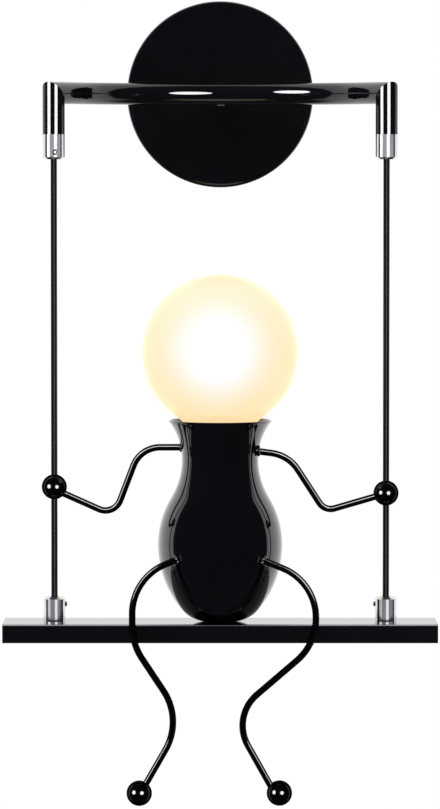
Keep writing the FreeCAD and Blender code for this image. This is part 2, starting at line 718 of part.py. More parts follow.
def drop_sleeve(name, side):
    sign = "0 - " if side < 0 else ""
    height = "(sleeve_drop + tube_diameter)"
    sleeve = turned(name + "_turned", tube_profile(
        "tube_diameter", "tube_diameter - 2 * tube_wall", height))
    place(sleeve, sign + "cord_half_span", SWING_Y, SLEEVE_END)
    return keep("drop_sleeve_" + name, cut(name + "_sleeve_cut", sleeve,
                                           mitre_tool(name + "_sleeve_mitre", side, above=True)))


# Cord grips: turned, chamfered at the cord's end, with a flared mouth and a set screw

def grip_blank(name, spigot, spigot_length, thread=False):
    """Origin at the cord's end, spigot up."""
    bore = "(cord_diameter / 2 + grip_bore_play)"
    mouth = "(%s + mouth_height * tan(mouth_angle))" % bore
    outside = "tube_diameter / 2"
    top = "(grip_length + %s)" % spigot_length
    grip = turned(name + "_turned", [
        (mouth, "0"), (outside + " - grip_chamfer", "0"), (outside, "grip_chamfer"),
        (outside, "grip_length"), ("(%s) / 2" % spigot, "grip_length"), ("(%s) / 2" % spigot, top),
        (bore, top), (bore, "mouth_height"),
    ])
    hole = cylinder(name + "_screw_hole", "grip_screw_thread + 2 * thread_fit", "tube_diameter",
                    z="grip_screw_inset", turn=TO_RIGHT)
    return cut(name + "_blank", grip, hole)


def set_screw(name):
    """Origin on the grip's axis at its cord end; the screw points along local X."""
    start = "cord_diameter / 2"
    length = "(tube_diameter / 2 + grip_screw_proud - %s)" % start
    shank = cylinder(name + "_shank", "grip_screw_thread", length, start, "0", "grip_screw_inset",
                     TO_RIGHT)
    floor = "tube_diameter / 2 + grip_screw_proud - grip_socket_depth"
    socket = hexagon(name + "_socket", "grip_socket_flats", "2 * grip_socket_depth", floor, "0",
                     "grip_screw_inset", TO_RIGHT)
    return cut(name, shank, socket)


def about_z(degrees):
    return Rotation(Vector(0, 0, 1), degrees)


LOWER_SPIGOT = "(seat_wall + grip_nut_height + grip_thread_past_nut)"


def cord_side(name, side):
    """Everything on one cord: grips, screws, cord, tail, nut and hand ball."""
    sign = "0 - " if side < 0 else ""
    x = sign + "cord_half_span"
    front_turn = -90 + number("upper_screw_turn")
    upper_turn = about_z(front_turn if side < 0 else 180 + front_turn)
    spigot = "(tube_diameter - 2 * tube_wall - 2 * thread_fit)"
    upper = grip_blank("upper_grip_%s_part" % name, spigot, "grip_spigot")
    keep("upper_grip_" + name, place(upper, x, SWING_Y, UPPER_GRIP_END, upper_turn))
    upper_screw = place(set_screw("upper_screw_" + name), x, SWING_Y, UPPER_GRIP_END, upper_turn)

    inward = 0 if side < 0 else 180
    lower_turn = about_z(inward).multiply(UPSIDE_DOWN)
    lower = grip_blank("lower_grip_%s_part" % name, "lower_spigot_diameter", LOWER_SPIGOT)
    keep("lower_grip_" + name, place(lower, x, SWING_Y, LOWER_GRIP_TOP, lower_turn))
    lower_screw = place(set_screw("lower_screw_" + name), x, SWING_Y, LOWER_GRIP_TOP, lower_turn)

    nut = hexagon("grip_nut_%s_blank" % name, "grip_nut_flats", "grip_nut_height")
    bore = cylinder("grip_nut_%s_bore" % name, "lower_spigot_diameter + 2 * thread_fit",
                    "grip_nut_height")
    nut = place(cut("grip_nut_" + name, nut, bore), x, SWING_Y,
                "%s - seat_wall - grip_nut_height" % SEAT_Z)

    low = "(%s - %s)" % (SEAT_Z, LOWER_SPIGOT)
    strand = cylinder("strand_" + name, "cord_diameter", "%s - %s" % (PIVOT_Z, low), x, SWING_Y, low)
    top = sphere("strand_top_" + name, "cord_diameter", x, SWING_Y, PIVOT_Z)
    cord = keep("cord_" + name, fuse("cord_%s_fused" % name, strand, top))
    tail_z = "(%s + cord_diameter / 2 + cord_gap)" % PIVOT_Z
    keep("cord_tail_" + name, cylinder("tail_" + name, "cord_diameter", "tail_length",
                                       x, SWING_Y, tail_z))
    return upper_screw, lower_screw, nut


# Wires inside: rounded routes of single insulated wire

def rounded_route(points, radii):
    """Edges of straight runs joined by tangent arcs, in space."""
    edges = []
    start = points[0]
    for before, corner, after, bend in zip(points, points[1:], points[2:], radii):
        into = (corner - before).normalize()
        out = (after - corner).normalize()
        turn = into.getAngle(out)
        reach = bend * math.tan(turn / 2)
        first = corner - into * reach
        last = corner + out * reach
        inward = (out - into).normalize()
        middle = corner + inward * (bend / math.cos(turn / 2) - bend)
        if (first - start).Length > 1e-6:
            edges.append(Part.LineSegment(start, first).toShape())
        edges.append(Part.Arc(first, middle, last).toShape())
        start = last
    edges.append(Part.LineSegment(start, points[-1]).toShape())
    return edges


def wire_along(name, points, radii):
    edges = rounded_route(points, radii)
    route = Part.Wire(edges)
    radius = number("lead_diameter") / 2
    heading = edges[0].tangentAt(edges[0].FirstParameter)
    section = Part.Wire(Part.makeCircle(radius, points[0], heading))
    shape = route.makePipeShell([section], True, False)
    expected = math.pi * radius ** 2 * route.Length
    if abs(shape.Volume / expected - 1) > 0.01:
        raise RuntimeError(name + " is not swept whole")
    wire = doc.addObject("Part::Feature", name)
    wire.Shape = shape
    return keep(name, wire)


def bow_lead(name, side):
    """From the cord's tail through sleeve, bow and boss to the terminal block."""
    span = side * number("cord_half_span")
    front = number(SWING_Y)
    tail_top = number(PIVOT_Z) + number("cord_diameter / 2 + cord_gap + tail_length")
    bow_y = -number(BOW_FRONT)
    entry = side * number("lead_half_pitch")
    half_corner = side * number("bow_radius * tan(bow_angle / 2)")
    middle = number("bracket_sheet + block_height / 2")
    level = -middle - side * number("lead_level") / 2
    block_face = number("block_offset - block_length / 2")
    bend = number("block_lead_bend")
    bow_bend = number("bow_radius - (lead_half_pitch + block_lead_bend) / tan(bow_angle / 2)")
    points = [
        Vector(span, front, tail_top), Vector(span, front, 0), Vector(half_corner, bow_y, 0),
        Vector(entry, bow_y, 0), Vector(entry, level, 0), Vector(block_face, level, 0),
    ]
    return wire_along("bow_lead_" + name, points, [bend, bow_bend, bend, bend])


def seat_lead(name, side):
    """From the cord's end under the seat's top to the lampholder's insert."""
    x = side * number("cord_half_span")
    front = number(SWING_Y)
    entry = side * number("lead_half_pitch")
    cord_end = number("%s - %s" % (SEAT_Z, LOWER_SPIGOT))
    floor = number("%s - seat_height + seat_wall + lead_diameter / 2 + lead_floor_gap" % SEAT_Z)
    points = [Vector(x, front, cord_end), Vector(x, front, floor), Vector(entry, front, floor),
              Vector(entry, front, number(INSERT_Z))]
    bend = number("lead_bend")
    return wire_along("seat_lead_" + name, points, [bend, bend])


def terminal_block():
    base = "bracket_sheet"
    housing = block("block_box", "block_length", "block_width", "block_height",
                    "0 - block_length / 2", "0 - block_width / 2", base)
    chamfered = doc.addObject("Part::Chamfer", "block_chamfered")
    chamfered.Base = housing
    doc.recompute()
    top = number("bracket_sheet + block_height")
    size = number("block_edge")
    chamfered.Edges = [(index + 1, size, size) for index, edge in enumerate(housing.Shape.Edges)
                       if edge.BoundBox.ZMin > top - 1e-6]
    wells = []
    screws = []
    depth = "(clamp_screw_length + clamp_screw_sunk)"
    for index in (-1, 0, 1):
        x = "%d * clamp_screw_pitch" % index
        well = "clamp_screw_diameter + 2 * clamp_well_play"
        wells.append(cylinder("clamp_well%d" % (index + 2), well, depth,
                              x, "0", "%s + block_height - %s" % (base, depth)))
        screws.append(cylinder("clamp_screw%d" % (index + 2), "clamp_screw_diameter",
                               "clamp_screw_length", "block_offset + " + x,
                               "0 - %s - block_height + %s" % (base, depth), "0", TO_FRONT))
    keep("terminal_block", place(cut("block_cut", chamfered, *wells), "block_offset", turn=TO_FRONT))
    group("terminal_screws", screws)


# Seat: a flat tube with a plate welded in each end

def seat():
    body = new_body("seat_tube")
    outline = Sketch(body, "YZ_Plane", "seat_outline")
    outline.rectangle("seat_depth", "seat_height", "0", "0 - seat_height / 2")
    pad(body, outline, "seat_pad", SEAT_LENGTH, both_ways=True)
    length = number(SEAT_LENGTH)
    dress(body, "Fillet", "seat_edges", lambda edge: edge.BoundBox.XLength > length - 1e-6,
          Radius="seat_edge")
    hollow = Sketch(body, "YZ_Plane", "seat_hollow")
    inner = ("(seat_depth - 2 * seat_wall)", "(seat_height - 2 * seat_wall)")
    hollow.rectangle(*inner, "0", "0 - seat_height / 2")
    pocket(body, hollow, "seat_pocket", both_ways=True)
    top_holes = Sketch(body, "XY_Plane", "seat_top_holes")
    top_holes.circle("nipple_diameter + 2 * hole_clearance")
    for sign in "-+":
        top_holes.circle("lower_spigot_diameter + 2 * hole_clearance", "0 %s cord_half_span" % sign)
    pocket(body, top_holes, "seat_top_pocket", length="seat_wall * 1.5")
    place(body, "0", SWING_Y, SEAT_Z)
    bottom = "(%s - seat_height)" % SEAT_Z
    access = cylinder("seat_access", "access_hole", "seat_wall * 3", "0", SWING_Y,
                      "%s - seat_wall" % bottom)
    keep("seat_bar", cut("seat_cut", body, access))
    for name, x in (("left", "end_inset - %s / 2" % SEAT_LENGTH),
                    ("right", "%s / 2 - end_inset - end_plate" % SEAT_LENGTH)):
        plate = block("end_" + name, "end_plate", *inner, x,
                      "%s - %s / 2" % (SWING_Y, inner[0]), "%s + seat_wall" % bottom)
        keep("seat_end_" + name, plate)


# Figure's body: two spun shells that meet at the widest place, all arcs tangent to each other

def vase(name, inset, top):
    """The body's form, drawn in by inset; the arc over the widest place fits its neighbours."""
    foot, belly = [number(curve + " - " + inset) for curve in ("foot_curve", "belly_curve")]
    neck, lip = [number(curve + " + " + inset) for curve in ("neck_curve", "lip_curve")]
    widest = number("belly_radius - " + inset)
    waist = number("neck_radius - " + inset)
    belly_z, neck_z, base_z, top_z = [number(z) for z in ("belly_height", NECK_HEIGHT, inset, top)]
    out = waist + neck - widest
    rise = neck_z - belly_z
    shoulder = (out ** 2 + rise ** 2 - neck ** 2) / (2 * (neck - out))
    belly_at = (widest - belly, belly_z)
    across = math.sqrt((belly - foot) ** 2 - (belly_z - base_z - foot) ** 2)
    foot_at = (belly_at[0] + across, base_z + foot)
    shoulder_at = (widest - shoulder, belly_z)
    neck_at = (waist + neck, neck_z)
    lip_at = (waist + lip, neck_z)
    down = math.atan2(foot_at[1] - belly_at[1], foot_at[0] - belly_at[0])
    up = math.atan2(rise, neck_at[0] - shoulder_at[0])
    foot_end = (belly_at[0] + belly * math.cos(down), belly_at[1] + belly * math.sin(down))
    shoulder_end = (shoulder_at[0] + shoulder * math.cos(up), belly_z + shoulder * math.sin(up))
    lip_point = (lip_at[0] - math.sqrt(lip ** 2 - (top_z - neck_z) ** 2), top_z)

    body = new_body(name)
    form = Sketch(body, "XZ_Plane", name + "_profile")
    base = form.line((0, base_z), (foot_at[0], base_z))
    foot_arc = form.arc(foot_at, foot, (foot_at[0], base_z), foot_end)
    belly_arc = form.arc(belly_at, belly, foot_end, (widest, belly_z))
    shoulder_arc = form.arc(shoulder_at, shoulder, (widest, belly_z), shoulder_end)
    neck_arc = form.arc(neck_at, neck, (waist, neck_z), shoulder_end)
    lip_arc = form.arc(lip_at, lip, lip_point, (waist, neck_z))
    lid = form.line(lip_point, (0, top_z))
    axis = form.line((0, top_z), (0, base_z))

    form.pin(base, 1, "0", inset)
    form.rule("Horizontal", base)
    form.rule("Tangent", base, 2, foot_arc, 1)
    form.rule("Tangent", foot_arc, 2, belly_arc, 1)
    form.rule("Tangent", belly_arc, 2, shoulder_arc, 1)
    form.rule("Tangent", shoulder_arc, 2, neck_arc, 2)
    form.rule("Tangent", neck_arc, 1, lip_arc, 2)
    form.rule("Coincident", lip_arc, 1, lid, 1)
    form.rule("Horizontal", lid)
    form.rule("PointOnObject", lid, 2, -2)
    form.rule("Coincident", lid, 2, axis, 1)
    form.rule("Coincident", axis, 2, base, 1)
    form.rule("Radius", foot_arc, formula="foot_curve - " + inset)
    form.rule("Radius", belly_arc, formula="belly_curve - " + inset)
    form.rule("DistanceX", -1, 1, belly_arc, 2, formula="belly_radius - " + inset)
    form.rule("DistanceY", -1, 1, belly_arc, 3, formula="belly_height")
    form.rule("DistanceY", -1, 1, shoulder_arc, 3, formula="belly_height")
    form.pin(neck_arc, 3, "neck_radius + neck_curve", NECK_HEIGHT)
    form.rule("Radius", neck_arc, formula="neck_curve + " + inset)
    form.rule("DistanceY", -1, 1, lip_arc, 3, formula=NECK_HEIGHT)
    form.rule("Radius", lip_arc, formula="lip_curve + " + inset)
    form.rule("DistanceY", -1, 1, lip_arc, 1, formula=top)
    revolve(body, form, name + "_turn")
    return place(body, "0", SWING_Y, SEAT_Z)


def body_shells():
    outside = vase("body_outside", "0", "body_height")
    inside = vase("body_inside", "body_wall", "body_height + body_wall")
    hole = cylinder("body_hole", "nipple_diameter + 2 * hole_clearance", "body_wall * 3",
                    "0", SWING_Y, "%s - body_wall" % SEAT_Z)
    shell = cut("body_cut", outside, inside, hole)
    room = "2 * belly_radius + 2 * body_wall"
    below = cylinder("body_below", room, "belly_height + body_wall", "0", SWING_Y,
                     "%s - body_wall" % SEAT_Z)
    above = cylinder("body_above", room, "body_height", "0", SWING_Y, "%s + belly_height" % SEAT_Z)
    keep("body_bowl", cut("body_bowl_cut", shell, above))
    keep("body_neck", cut("body_neck_cut", shell, below))
    return outside


def seat_hardware():
    inside_top = "(%s - seat_wall)" % SEAT_Z
    low = "(%s - washer_height - nut_height - nipple_stick_out)" % inside_top
    length = "%s + holder_lift + holder_base - %s" % (SEAT_Z, low)
    nipple = turned("body_nipple_turned", tube_profile("nipple_diameter", "nipple_bore", length))
    keep("body_nipple", place(nipple, "0", SWING_Y, low))
    washer = turned("seat_washer_turned", tube_profile(
        "washer_diameter", "nipple_diameter + 2 * hole_clearance", "washer_height"))
    keep("seat_washer", place(washer, "0", SWING_Y, inside_top + " - washer_height"))
    for node, z in (("seat_nut", inside_top + " - washer_height - nut_height"),
                    ("body_nut", SEAT_Z + " + body_wall")):
        nut = hexagon(node + "_blank", "nut_flats", "nut_height")
        bore = cylinder(node + "_bore", "nipple_diameter + 2 * thread_fit", "nut_height")
        keep(node, place(cut(node + "_cut", nut, bore), "0", SWING_Y, z))


# Lampholder inside the body

def lampholder():
    outside = "holder_diameter / 2"
    bore = "(%s - holder_wall)" % outside
    ledge = "(%s - ledge_width)" % bore
    hole = "(nipple_diameter / 2 + thread_fit)"
    ledge_z = "(holder_base + holder_ledge)"
    housing = turned("holder_housing_turned", [
        (hole, "0"), (outside, "0"), (outside, "holder_height"), (bore, "holder_height"),
        (bore, ledge_z), (ledge, ledge_z), (ledge, "holder_base"), (hole, "holder_base"),
    ])
    reach = number(outside)
    dress(housing, "Fillet", "holder_bottom",
          lambda edge: edge.BoundBox.ZMax < 1e-6 and abs(edge.BoundBox.XMax - reach) < 1e-6,
          Radius="holder_edge")
    keep("holder_housing", place(housing, "0", SWING_Y, "%s + holder_lift" % SEAT_Z))
    keep("holder_insert", cylinder("insert", "2 * " + bore, "insert_height", "0", SWING_Y, INSERT_Z))
    inner = "(cap_diameter + 2 * bulb_play)"
    sleeve = turned("holder_sleeve_turned", tube_profile(
        inner + " + 2 * holder_sleeve_wall", inner, "holder_sleeve_height"))
    keep("holder_sleeve", place(sleeve, "0", SWING_Y, SLEEVE_Z))
    keep("holder_contact", cone("contact", "contact_foot", "contact_diameter",
                                "contact_height", "0", SWING_Y, SLEEVE_Z))


# Bulb: its own Z starts at the tip contact

CAP_Z = "(tip_height + insulator_height)"
RIM_Z = "(%s + cap_height)" % CAP_Z
BEND_Z = "(%s + globe_neck_height)" % RIM_Z
GLOBE_Z = ("(%s + sqrt((globe_diameter / 2 + globe_neck_curve) ^ 2"
           " - (globe_neck_radius + globe_neck_curve) ^ 2))") % BEND_Z


def globe_form(name, inset):
    """The globe with its neck, drawn in by inset, open towards the cap."""
    rim = number("cap_diameter / 2 - " + inset)
    neck = number("globe_neck_radius - " + inset)
    hollow = number("globe_neck_curve + " + inset)
    ball = number("globe_diameter / 2 - " + inset)
    rim_z, bend_z, ball_z = [number(z) for z in (RIM_Z, BEND_Z, GLOBE_Z)]
    hollow_at = (neck + hollow, bend_z)
    share = ball / (ball + hollow)
    meet = (hollow_at[0] * share, ball_z + (bend_z - ball_z) * share)

    body = new_body(name)
    form = Sketch(body, "XZ_Plane", name + "_profile")
    floor = form.line((0, rim_z), (rim, rim_z))
    taper = form.line((rim, rim_z), (neck, bend_z))
    hollow_arc = form.arc(hollow_at, hollow, meet, (neck, bend_z))
    ball_arc = form.arc((0, ball_z), ball, meet, (0, ball_z + ball))
    axis = form.line((0, ball_z + ball), (0, rim_z))
    form.pin(floor, 1, "0", RIM_Z)
    form.pin(floor, 2, "cap_diameter / 2 - " + inset, RIM_Z)
    form.rule("Coincident", floor, 2, taper, 1)
    form.rule("Coincident", taper, 2, hollow_arc, 2)
    form.pin(hollow_arc, 3, "globe_neck_radius + globe_neck_curve", BEND_Z)
    form.rule("Radius", hollow_arc, formula="globe_neck_curve + " + inset)
    form.rule("DistanceY", -1, 1, hollow_arc, 2, formula=BEND_Z)
    form.rule("Tangent", hollow_arc, 1, ball_arc, 1)
    form.rule("PointOnObject", ball_arc, 3, -2)
    form.rule("Radius", ball_arc, formula="globe_diameter / 2 - " + inset)
    form.rule("PointOnObject", ball_arc, 2, -2)
    form.rule("Coincident", ball_arc, 2, axis, 1)
    form.rule("Coincident", axis, 2, floor, 1)
    revolve(body, form, name + "_turn")
    return place(body, "0", SWING_Y, TIP_Z)


def bulb():
    keep("globe", cut("globe_cut", globe_form("globe_outside", "0"),
                      globe_form("globe_inside", "globe_wall")))
    rim = "cap_diameter / 2"
    opening = "cap_opening / 2"
    floor = "(%s + cap_wall)" % CAP_Z
    cap = turned("cap_turned", [
        (opening, CAP_Z), (rim, CAP_Z), (rim, RIM_Z), (rim + " - cap_wall", RIM_Z),
        (rim + " - cap_wall", floor), (opening, floor),
    ])
    keep("bulb_cap", place(cap, "0", SWING_Y, TIP_Z))
    keep("tip_contact", cylinder("tip", "tip_diameter", "tip_height", "0", SWING_Y, TIP_Z))
    keep("cap_insulator", cone("insulator", "tip_diameter", "insulator_diameter", "insulator_height",
                               "0", SWING_Y, "%s + tip_height" % TIP_Z))
    post_z = "(%s + %s)" % (TIP_Z, floor)
    post_top = "(%s + %s + post_height)" % (TIP_Z, RIM_Z)
    keep("light_post", cylinder("post", "2 * post_radius", "%s - %s" % (post_top, post_z),
                                "0", SWING_Y, post_z))
    keep("light_board", cylinder("board", "board_diameter", "board_height", "0", SWING_Y, post_top))


# Limbs: each is one rod bent in its own upright plane, cut where it meets shell and ball

def arm(name, side, outside):
    """Drawn from the cord inwards; local X points to the body."""
    sign = "0 - " if side < 0 else ""
    hand_z = "(%s + %s_hand_height)" % (SEAT_Z, name)
    points = [
        (name + "_hand_aim_in", "0 - %s_hand_aim_drop" % name),
        ("%s_wrist_out" % name, "0 - %s_wrist_drop" % name),
        ("%s_elbow_out" % name, "%s_elbow_rise" % name),
        ("cord_half_span - neck_radius + arm_in_neck", "%s_shoulder_rise" % name),
    ]
    radii = [name + "_wrist_curve", name + "_elbow_curve"]
    rod = bent_rod("arm_%s_rod" % name, "XZ_Plane", points, radii, "rod_diameter")
    swing = 0 if side < 0 else 180 + number("right_arm_turn")
    place(rod, sign + "cord_half_span", SWING_Y, hand_z, about_z(swing))
    ball = sphere("hand_%s" % name, "hand_diameter", sign + "cord_half_span", SWING_Y, hand_z)
    keep("arm_" + name, cut("arm_%s_cut" % name, rod, outside, ball))
    bore = cylinder("hand_%s_bore" % name, "cord_diameter + 2 * hand_play", "hand_diameter * 2",
                    sign + "cord_half_span", SWING_Y, "%s - hand_diameter" % hand_z)
    keep("hand_ball_" + name, cut("hand_%s_cut" % name, ball, bore))


def leg(name, side, outside):
    """Drawn outwards from the middle; local X points away from the body."""
    sign = "0 - " if side < 0 else ""
    points = [
        (name + "_hip_out", name + "_hip_height"),
        ("%s_knee_out" % name, "%s_knee_height" % name),
        ("%s_knee_out" % name, "0 - %s_calf_drop" % name),
        ("%s_ankle_out" % name, "0 - %s_ankle_drop" % name),
        ("%s_foot_out - %s_foot_aim_in" % (name, name),
         "0 - %s_foot_drop + %s_foot_aim_rise" % (name, name)),
    ]
    radii = [name + part for part in ("_knee_curve", "_calf_curve", "_ankle_curve")]
    rod = bent_rod("leg_%s_rod" % name, "XZ_Plane", points, radii, "rod_diameter")
    place(rod, "0", LEG_Y, SEAT_Z, about_z(180 if side < 0 else 0))
    ball = sphere("foot_" + name, "foot_diameter", sign + name + "_foot_out", LEG_Y,
                  "%s - %s_foot_drop" % (SEAT_Z, name))
    keep("leg_" + name, cut("leg_%s_cut" % name, rod, outside, ball))
    keep("foot_ball_" + name, ball)


wall_bracket()
canopy()
canopy_screws()
earth_screw()
nipple_set()
bow_solid = bow_tube()
bow_boss(bow_solid)
terminal_block()
pairs = []
for name, side in SIDES:
    drop_sleeve(name, side)
    pairs.append(cord_side(name, side))
    bow_lead(name, side)
    seat_lead(name, side)
group("upper_grip_screws", [pair[0] for pair in pairs])
group("lower_grip_screws", [pair[1] for pair in pairs])
group("grip_nuts", [pair[2] for pair in pairs])
seat()
body_outside = body_shells()
seat_hardware()
lampholder()
bulb()
for name, side in SIDES:
    arm(name, side, body_outside)
    leg(name, side, body_outside)

doc.recompute()

# Nothing is written unless every object and every shape is sound

broken = [obj.Name for obj in doc.Objects if {"Invalid", "Error"} & set(obj.State)]
for obj in doc.Objects:
    if obj.TypeId == "Sketcher::SketchObject" and obj.solve() != 0:
        broken.append(obj.Name)
for obj in NODES:
    if obj.Shape.isNull() or not obj.Shape.isValid() or not obj.Shape.Solids:
        broken.append(obj.Label)
if broken:
    raise RuntimeError("unsound: " + ", ".join(broken))

os.makedirs("parts", exist_ok=True)
for obj in NODES:
    obj.Shape.exportStep("parts/%s.step" % obj.Label)
    print("%-20s solids %d  volume %9.1f" % (obj.Label, len(obj.Shape.Solids), obj.Shape.Volume))
for meaning, formula in (("pivot z", PIVOT_Z), ("swing plane y", SWING_Y), ("seat top z", SEAT_Z),
                         ("bulb tip z", TIP_Z), ("globe centre z", "%s + %s" % (TIP_Z, GLOBE_Z))):
    print("%-15s %.3f" % (meaning, number(formula)))
print(len(NODES), "nodes")
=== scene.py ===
import json
import math
import bmesh
import bpy
from mathutils import Matrix, Vector


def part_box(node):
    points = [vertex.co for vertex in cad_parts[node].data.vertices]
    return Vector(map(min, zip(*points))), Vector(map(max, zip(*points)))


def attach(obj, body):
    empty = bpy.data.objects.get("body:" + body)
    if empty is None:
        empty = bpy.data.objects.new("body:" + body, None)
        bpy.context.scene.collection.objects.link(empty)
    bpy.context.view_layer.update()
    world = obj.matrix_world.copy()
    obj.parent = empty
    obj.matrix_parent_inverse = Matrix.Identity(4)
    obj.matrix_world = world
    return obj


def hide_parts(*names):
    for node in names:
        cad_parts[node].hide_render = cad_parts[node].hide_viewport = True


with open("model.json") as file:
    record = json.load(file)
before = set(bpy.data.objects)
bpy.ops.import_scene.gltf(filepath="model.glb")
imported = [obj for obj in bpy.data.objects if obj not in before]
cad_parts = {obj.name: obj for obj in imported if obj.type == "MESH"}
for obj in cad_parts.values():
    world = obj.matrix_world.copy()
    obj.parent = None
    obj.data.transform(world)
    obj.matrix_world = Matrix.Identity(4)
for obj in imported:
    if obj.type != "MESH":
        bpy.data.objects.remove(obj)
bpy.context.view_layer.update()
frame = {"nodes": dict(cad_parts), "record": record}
print("frame loaded:", len(frame["nodes"]), "nodes")

# places that several pieces share, in metres
swingY = -0.12296
seatTop = -0.3228
cordX = 0.1014

millimetre = 0.001
sharpEdge = math.radians(45)  # edges that turn more than this stay crisp


# camera, set to the photograph's view

cameraSetup = {
    "place": (-0.0001, -3.123, -0.030),
    "tilt": 3.053,  # degrees down
    "sensor": 36.0,
    "lens": 218.85,
    "nearest": 0.05,
}


def makeCamera(setup):
    lens = bpy.data.cameras.new("photoCamera")
    lens.sensor_fit = "VERTICAL"
    lens.sensor_height = setup["sensor"]
    lens.lens = setup["lens"]
    lens.clip_start = setup["nearest"]
    camera = bpy.data.objects.new("photoCamera", lens)
    camera.location = setup["place"]
    camera.rotation_euler = (math.radians(90 - setup["tilt"]), 0, 0)
    bpy.context.collection.objects.link(camera)
    bpy.context.scene.camera = camera


makeCamera(cameraSetup)
print("camera set")


# studio: white wall behind, dark room in front, and light cards that each serve some pieces

studio = {
    "roomLight": 0.62,  # what matt surfaces get from all round
    "wallSeen": 1.0,  # what gloss shows of the wall side
    "roomSeen": (0.035, 0.036, 0.045),  # what gloss shows of the dark room in front
    "edge": (0.09, 0.17),  # how far back the wall begins
    "below": (-0.80, -0.62),  # and how far down it ends
    "cardsAimAt": -0.10,  # higher cards tip down to this height, lower ones shine level
    "cardsAway": 2.1,  # from the swing, for cards that give no distance
}
fill = {
    "place": (-0.5, -1.0, 1.6),
    "across": 1.6,
    "aim": (0, swingY, -0.24),
    "level": 0.5,
}
paper = {
    "height": -0.50,
    "half": 2.5,
    "back": 0.30,  # it stops behind the lamp, out of the photograph's view
    "grey": 0.8,
    "lift": 0.5,  # extra white that only the camera sees
}
cards = {
    "softboxLeft": {"turn": -50.5, "height": -0.02, "wide": 1.15, "tall": 1.15, "bright": 24.0,
                    "shape": "DISK", "onto": ("rest",)},
    "softboxRight": {"turn": 24.0, "height": -0.12, "wide": 1.15, "tall": 1.15, "bright": 24.0,
                     "shape": "DISK", "onto": ("rest",)},
    "armCard": {"turn": -4.0, "height": 1.35, "wide": 3.4, "tall": 0.9, "bright": 20.0,
                "shape": "RECTANGLE", "onto": ("arm_left", "arm_right")},
    "limbCardLeft": {"turn": -50.0, "height": 0.7, "wide": 0.9, "tall": 1.5, "bright": 16.0,
                     "shape": "RECTANGLE", "onto": ("arm_left", "leg_left")},
    "limbCardRight": {"turn": 42.0, "height": 0.75, "wide": 1.3, "tall": 1.4, "bright": 16.0,
                      "shape": "RECTANGLE", "onto": ("arm_right", "leg_right")},
    "bowCardLeft": {"turn": -60.5, "height": 0.70, "wide": 1.25, "tall": 1.10, "bright": 24.0,
                    "shape": "ELLIPSE", "onto": ("bow",)},
    "bowCardRight": {"turn": 24.0, "height": 0.35, "wide": 1.28, "tall": 1.10, "bright": 24.0,
                     "shape": "ELLIPSE", "onto": ("bow",)},
    "cordCard": {"turn": 6.0, "height": -0.1, "wide": 0.8, "tall": 2.0, "bright": 7.5,
                 "shape": "RECTANGLE", "onto": ("cords",)},
    "screwCard": {"turn": 16.0, "height": -0.02, "wide": 0.9, "tall": 0.9, "bright": 4.0,
                  "shape": "DISK", "onto": ("screws",)},
    "seatSky": {"turn": 0.0, "height": 1.5, "away": 0.1, "wide": 2.4, "tall": 2.4, "bright": 7.0,
                "shape": "DISK", "onto": ("seat",)},
    "seatWall": {"turn": 180.0, "height": -0.1, "away": 0.9, "wide": 6.0, "tall": 1.3, "bright": 0.17,
                 "shape": "RECTANGLE", "onto": ("seat",)},
}
gripStrips = {  # what the plated grips mirror
    "Room": {"turn": 0, "away": 0.8, "wide": 6.0},
    "Left": {"turn": -57, "wide": 0.95},
    "Right": {"turn": 17, "wide": 1.0},
}
gripRows = {  # the lower grips shine less
    "High": {"height": 1.3, "Room": 0.36, "Left": 1.4, "Right": 1.4},
    "Low": {"height": -1.7, "Room": 0.21, "Left": 0.5, "Right": 0.75},
}
for row, values in gripRows.items():
    for part, strip in gripStrips.items():
        cards["plated" + part + row] = {
            **strip, "height": values["height"], "tall": 3.0, "bright": values[part],
            "shape": "RECTANGLE", "onto": ("plated",), "shinesLevel": True,
        }


def aimAt(obj, target):
    obj.rotation_euler = (Vector(target) - obj.location).to_track_quat("-Z", "Y").to_euler()


def makeCard(name, card, setup):
    light = bpy.data.lights.new(name, "AREA")
    light.shape = card["shape"]
    light.size = card["wide"]
    light.size_y = card["tall"]
    area = card["wide"] * card["tall"] * (1 if card["shape"] == "RECTANGLE" else math.pi / 4)
    light.energy = card["bright"] * math.pi * area
    obj = bpy.data.objects.new(name, light)
    turn = math.radians(card["turn"])
    away = card.get("away", setup["cardsAway"])
    obj.location = (away * math.sin(turn), swingY - away * math.cos(turn), card["height"])
    aim = card["height"] if card.get("shinesLevel") else min(card["height"], setup["cardsAimAt"])
    aimAt(obj, (0, swingY, aim))
    bpy.context.collection.objects.link(obj)
    obj.visible_camera = False
    obj.visible_diffuse = False  # the fill and the room light the matt surfaces
    return obj


def makeFill(setup):
    light = bpy.data.lights.new("fillAbove", "AREA")
    light.shape = "DISK"
    light.size = setup["across"]
    away = (Vector(setup["place"]) - Vector(setup["aim"])).length
    light.energy = setup["level"] * 4 * math.pi * away ** 2
    obj = bpy.data.objects.new("fillAbove", light)
    obj.location = setup["place"]
    aimAt(obj, setup["aim"])
    bpy.context.collection.objects.link(obj)
    obj.visible_camera = False
    obj.visible_glossy = False
    obj.visible_transmission = False


def joinMath(tree, kind, first, second):
    node = tree.nodes.new("ShaderNodeMath")
    node.operation = kind
    tree.links.new(first, node.inputs[0])
    tree.links.new(second, node.inputs[1])
    return node.outputs[0]


def fadeIn(tree, value, ends):
    # 0 up to the first end, 1 from the second
    node = tree.nodes.new("ShaderNodeMapRange")
    node.interpolation_type = "SMOOTHSTEP"
    for name, number in zip(("From Min", "From Max"), ends):
        node.inputs[name].default_value = number
    tree.links.new(value, node.inputs["Value"])
    return node.outputs[0]


def background(tree, level):
    node = tree.nodes.new("ShaderNodeBackground")
    node.inputs["Color"].default_value = (level, level, level, 1)
    return node


